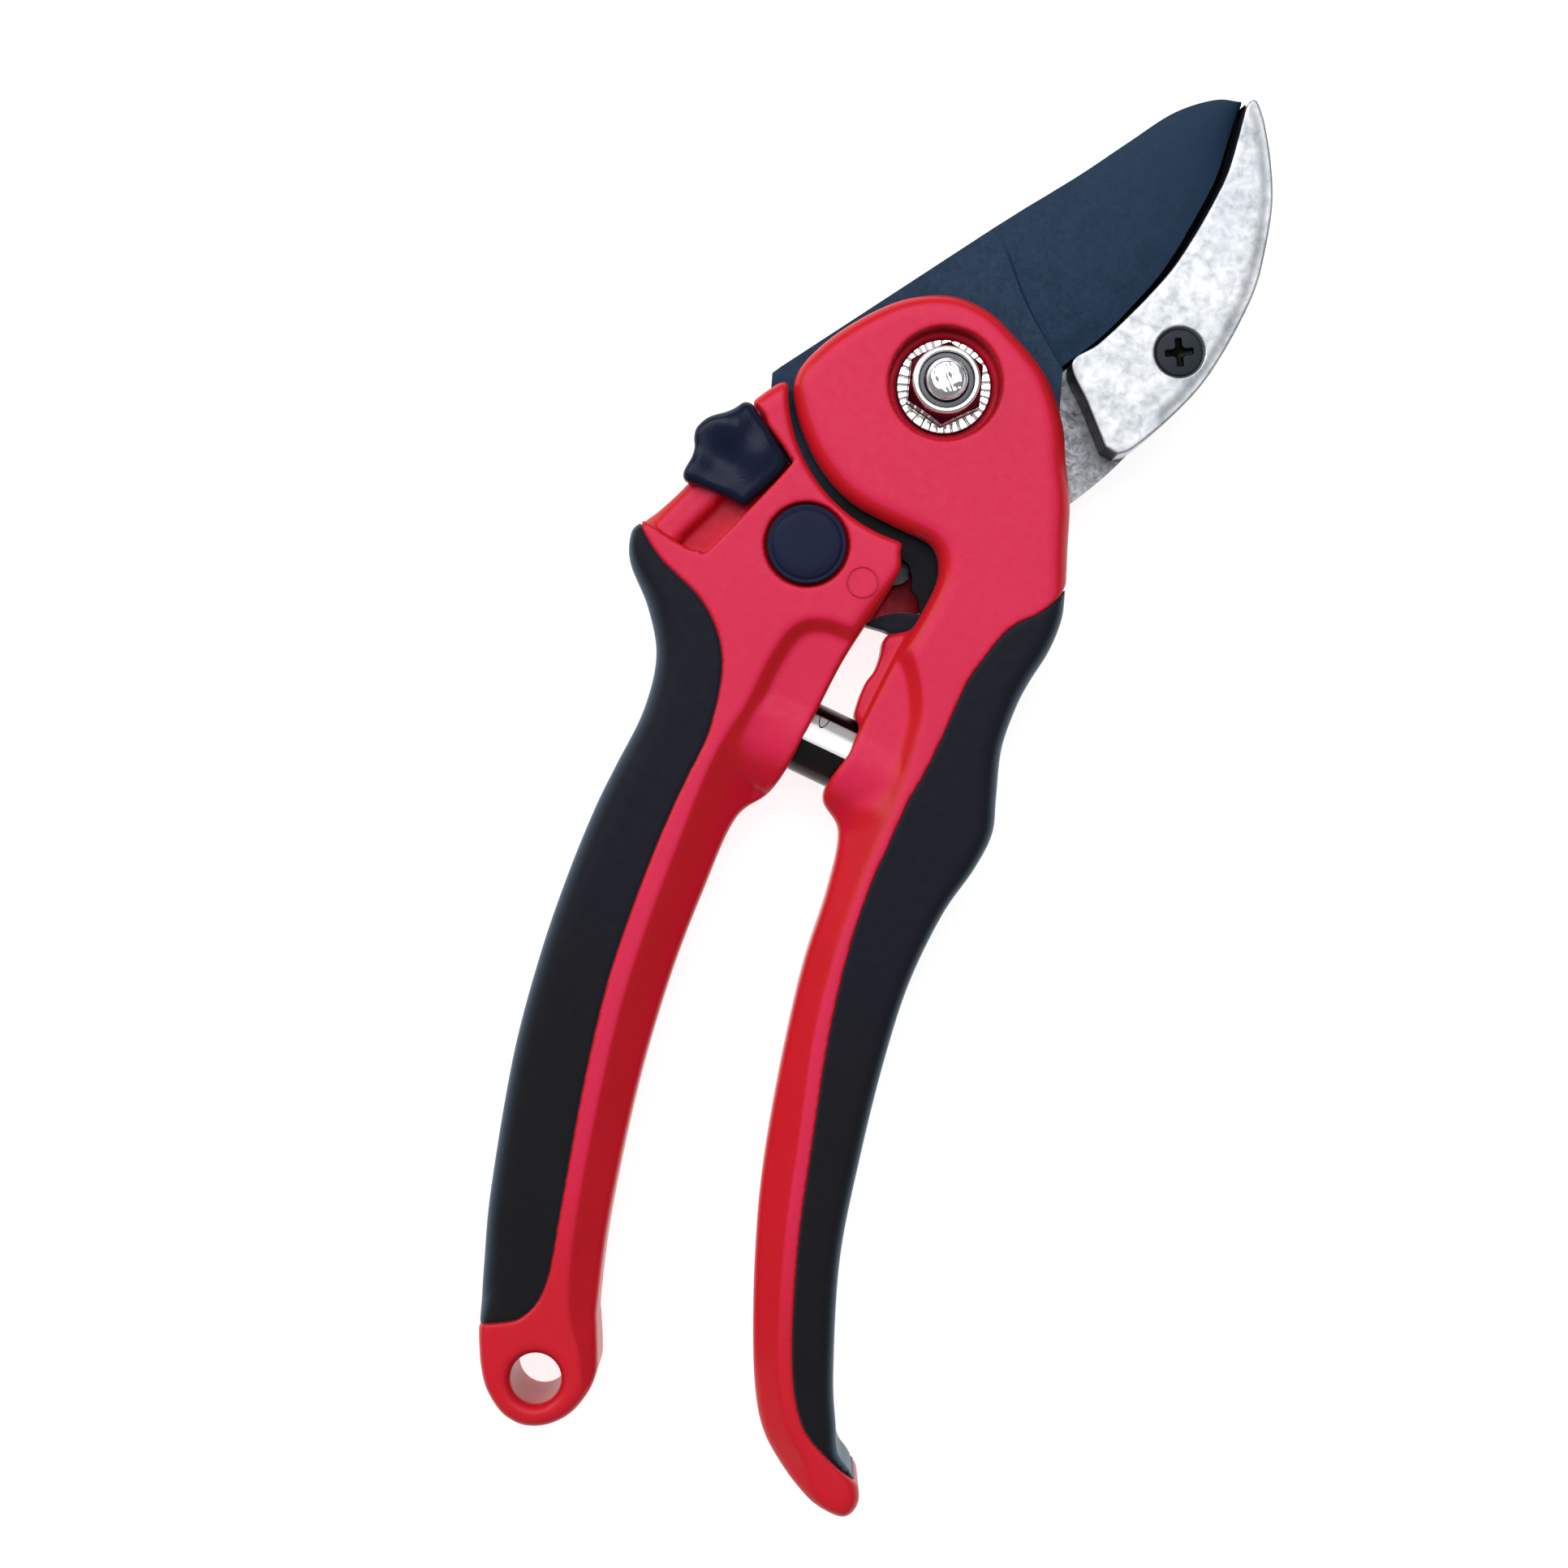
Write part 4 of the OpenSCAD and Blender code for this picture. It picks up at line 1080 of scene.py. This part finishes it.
# --------------------------------------------------------------------- spring
def build_spring():
    """Volute of one wound strip between the handles."""
    bm = bmesh.new()
    turns, thick, per_turn, na = 4.2, 0.5, 72, 24
    radius, pitch = 5.46, 0.58
    first, width, lead = 11.0, 16.5, 1.6
    axis = Vector((*SPRING_DIR, 0))
    side = Vector((-SPRING_DIR[1], SPRING_DIR[0], 0))
    mid = Vector((*SPRING, MID))
    start = math.radians(-4)
    n = int(turns * per_turn)

    def at(u, th, r):
        return mid + axis * u + side * (r * math.sin(th)) + Vector((0, 0, r * math.cos(th)))

    rows = {}
    for layer in (0, 1):
        for i in range(n + 1):
            a = i / per_turn
            r = radius - pitch * a - layer * thick
            for k in range(na + 1):
                u = first - lead * a - width * k / na
                rows[layer, i, k] = bm.verts.new(at(u, start + 2 * math.pi * a, r))

    def sheet(rows, n, na):
        """Closed skin round two layers of vertices."""
        for i in range(n):
            for k in range(na):
                around = ((i, k), (i, k + 1), (i + 1, k + 1), (i + 1, k))
                bm.faces.new([rows[0, a, b] for a, b in around])
                bm.faces.new([rows[1, a, b] for a, b in around[:1] + around[:0:-1]])
            for k in (0, na):
                bm.faces.new((rows[0, i, k], rows[0, i + 1, k], rows[1, i + 1, k], rows[1, i, k]))
        for i in (0, n):
            for k in range(na):
                bm.faces.new((rows[0, i, k], rows[0, i, k + 1], rows[1, i, k + 1], rows[1, i, k]))

    sheet(rows, n, na)
    # small tongue raised from the strip near its upper edge, with a near-black rim under it:
    # painted shade in the cut round it
    first_cut = len(bm.faces)
    for grow, rise in ((0.13, 0.03), (0.0, 0.09)):
        tab, m = {}, 12
        for layer in (0, 1):
            for i in range(m + 1):
                v = i / m
                half = (0.42 + 0.22 * v) * math.sqrt(max(1 - max(1 - v * 2.2, 0) ** 2, 0.02)) + grow
                th = math.radians(24.5 + 20.5 * v - (70 * grow / 5.3 if i == 0 else 0))
                r = radius - pitch * (th - start) / (2 * math.pi) + rise - layer * 0.2
                for k in range(7):
                    tab[layer, i, k] = bm.verts.new(at(-1.4 + half * (k / 3 - 1), th, r))
        sheet(tab, m, 6)
        if grow:
            last_cut = len(bm.faces)
    bmesh.ops.recalc_face_normals(bm, faces=bm.faces)
    ob = from_bm("Strip_Spring", bm, None, "spring_steel",
                 ["spring_outer_coil", "spring_inner_coil"], SPRING_M, sharp=40,
                 second=(EDGE, lambda x, y, z, i: first_cut <= i < last_cut))
    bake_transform(ob)


def build_bumper():
    h = 0.22
    G = Grid((0.3, -37, 2.5), (9.8, -30, 13.6), h)
    out = ring([(0.9, -35.1), (1.7, -34.1), (3, -32.9), (4.6, -32), (6.4, -31.4), (9, -31),
                (8.6, -33.4), (6.6, -34.2), (5, -35), (3.6, -35), (2.2, -35.1)], 6)
    v, q = G.mesh(slabf(G.poly(out), G.Z, 7.5, 12.5, 0.4))
    make("Rubber_Bumper", v, q, BLADE, "grip_rubber", ["rubber_bumper"], GRIP)


build_spring()
build_bumper()

# the nodes inside stay the CAD's own
for node, m in (("detent_ball", PLATED), ("detent_spring", SPRING_M), ("blade_rivet", PLATE_M),
                ("jaw_rivet", PLATE_M)):
    node_mesh = bpy.data.objects[node].data
    node_mesh.materials.clear()
    node_mesh.materials.append(m)


# ---------------------------------------------------------------------- stage
ROLL = math.radians(20)     # of the camera; the lights keep to its directions
VIEW_FACTOR = 3026 / 1932   # focal length over the frame's width
SENSOR = 36


def floor():
    """Pale floor just under the tool, lit so that it stays white."""
    bm = bmesh.new()
    bmesh.ops.create_grid(bm, x_segments=8, y_segments=8, size=12)
    me = bpy.data.meshes.new("Floor")
    bm.to_mesh(me)
    bm.free()
    ob = bpy.data.objects.new("Floor", me)
    bpy.context.collection.objects.link(ob)
    ob.location = (0, 0, -0.00005)
    m, N, L, b = new_mat("floor")
    v = coords(N, L)
    n = noise(N, L, v, 3, 3, 0.5)
    L.new(ramp(N, L, n, [(0.3, g(0.36)), (0.7, g(0.38))]), b.inputs["Base Color"])
    b.inputs["Roughness"].default_value = 0.9
    b.inputs["Specular IOR Level"].default_value = 0.1
    b.inputs["Emission Color"].default_value = (1, 1, 1, 1)
    b.inputs["Emission Strength"].default_value = 0.85
    me.materials.append(m)


def area(name, loc, size, size_y, power, color):
    """Rectangular light that points at the row's origin."""
    li = bpy.data.lights.new(name, "AREA")
    li.energy = power
    li.color = color
    li.shape = "RECTANGLE"
    li.size, li.size_y = size, size_y
    ob = bpy.data.objects.new(name, li)
    bpy.context.collection.objects.link(ob)
    ob.location = loc
    ob.rotation_euler = (-loc).to_track_quat("-Z", "Y").to_euler()


floor()
left = Vector((-math.cos(ROLL), -math.sin(ROLL), 0))
top = Vector((-math.sin(ROLL), math.cos(ROLL), 0))
up = Vector((0, 0, 1))
area("Overhead", up * 1.1 + top * 0.5, 1.0, 1.0, 8.2, (1, 0.99, 1))
area("Key_Left", left * 0.8 + top * 0.55 + up * 0.7, 0.6, 0.8, 5.2, (1, 1, 1))
world = bpy.data.worlds.new("World")
bpy.context.scene.world = world
world.use_nodes = True
background = world.node_tree.nodes["Background"]
background.inputs["Color"].default_value = (0.97, 0.98, 1, 1)
background.inputs["Strength"].default_value = 0.3
bpy.context.scene.view_settings.view_transform = "Standard"

cam = bpy.data.cameras.new("Camera")
cam.sensor_width = SENSOR
cam.lens = SENSOR * VIEW_FACTOR
co = bpy.data.objects.new("Camera", cam)
bpy.context.collection.objects.link(co)
co.location = P(-2.0, -59.9, 356)
co.rotation_euler = (0, 0, ROLL)
cam.clip_start = 0.01
bpy.context.scene.camera = co
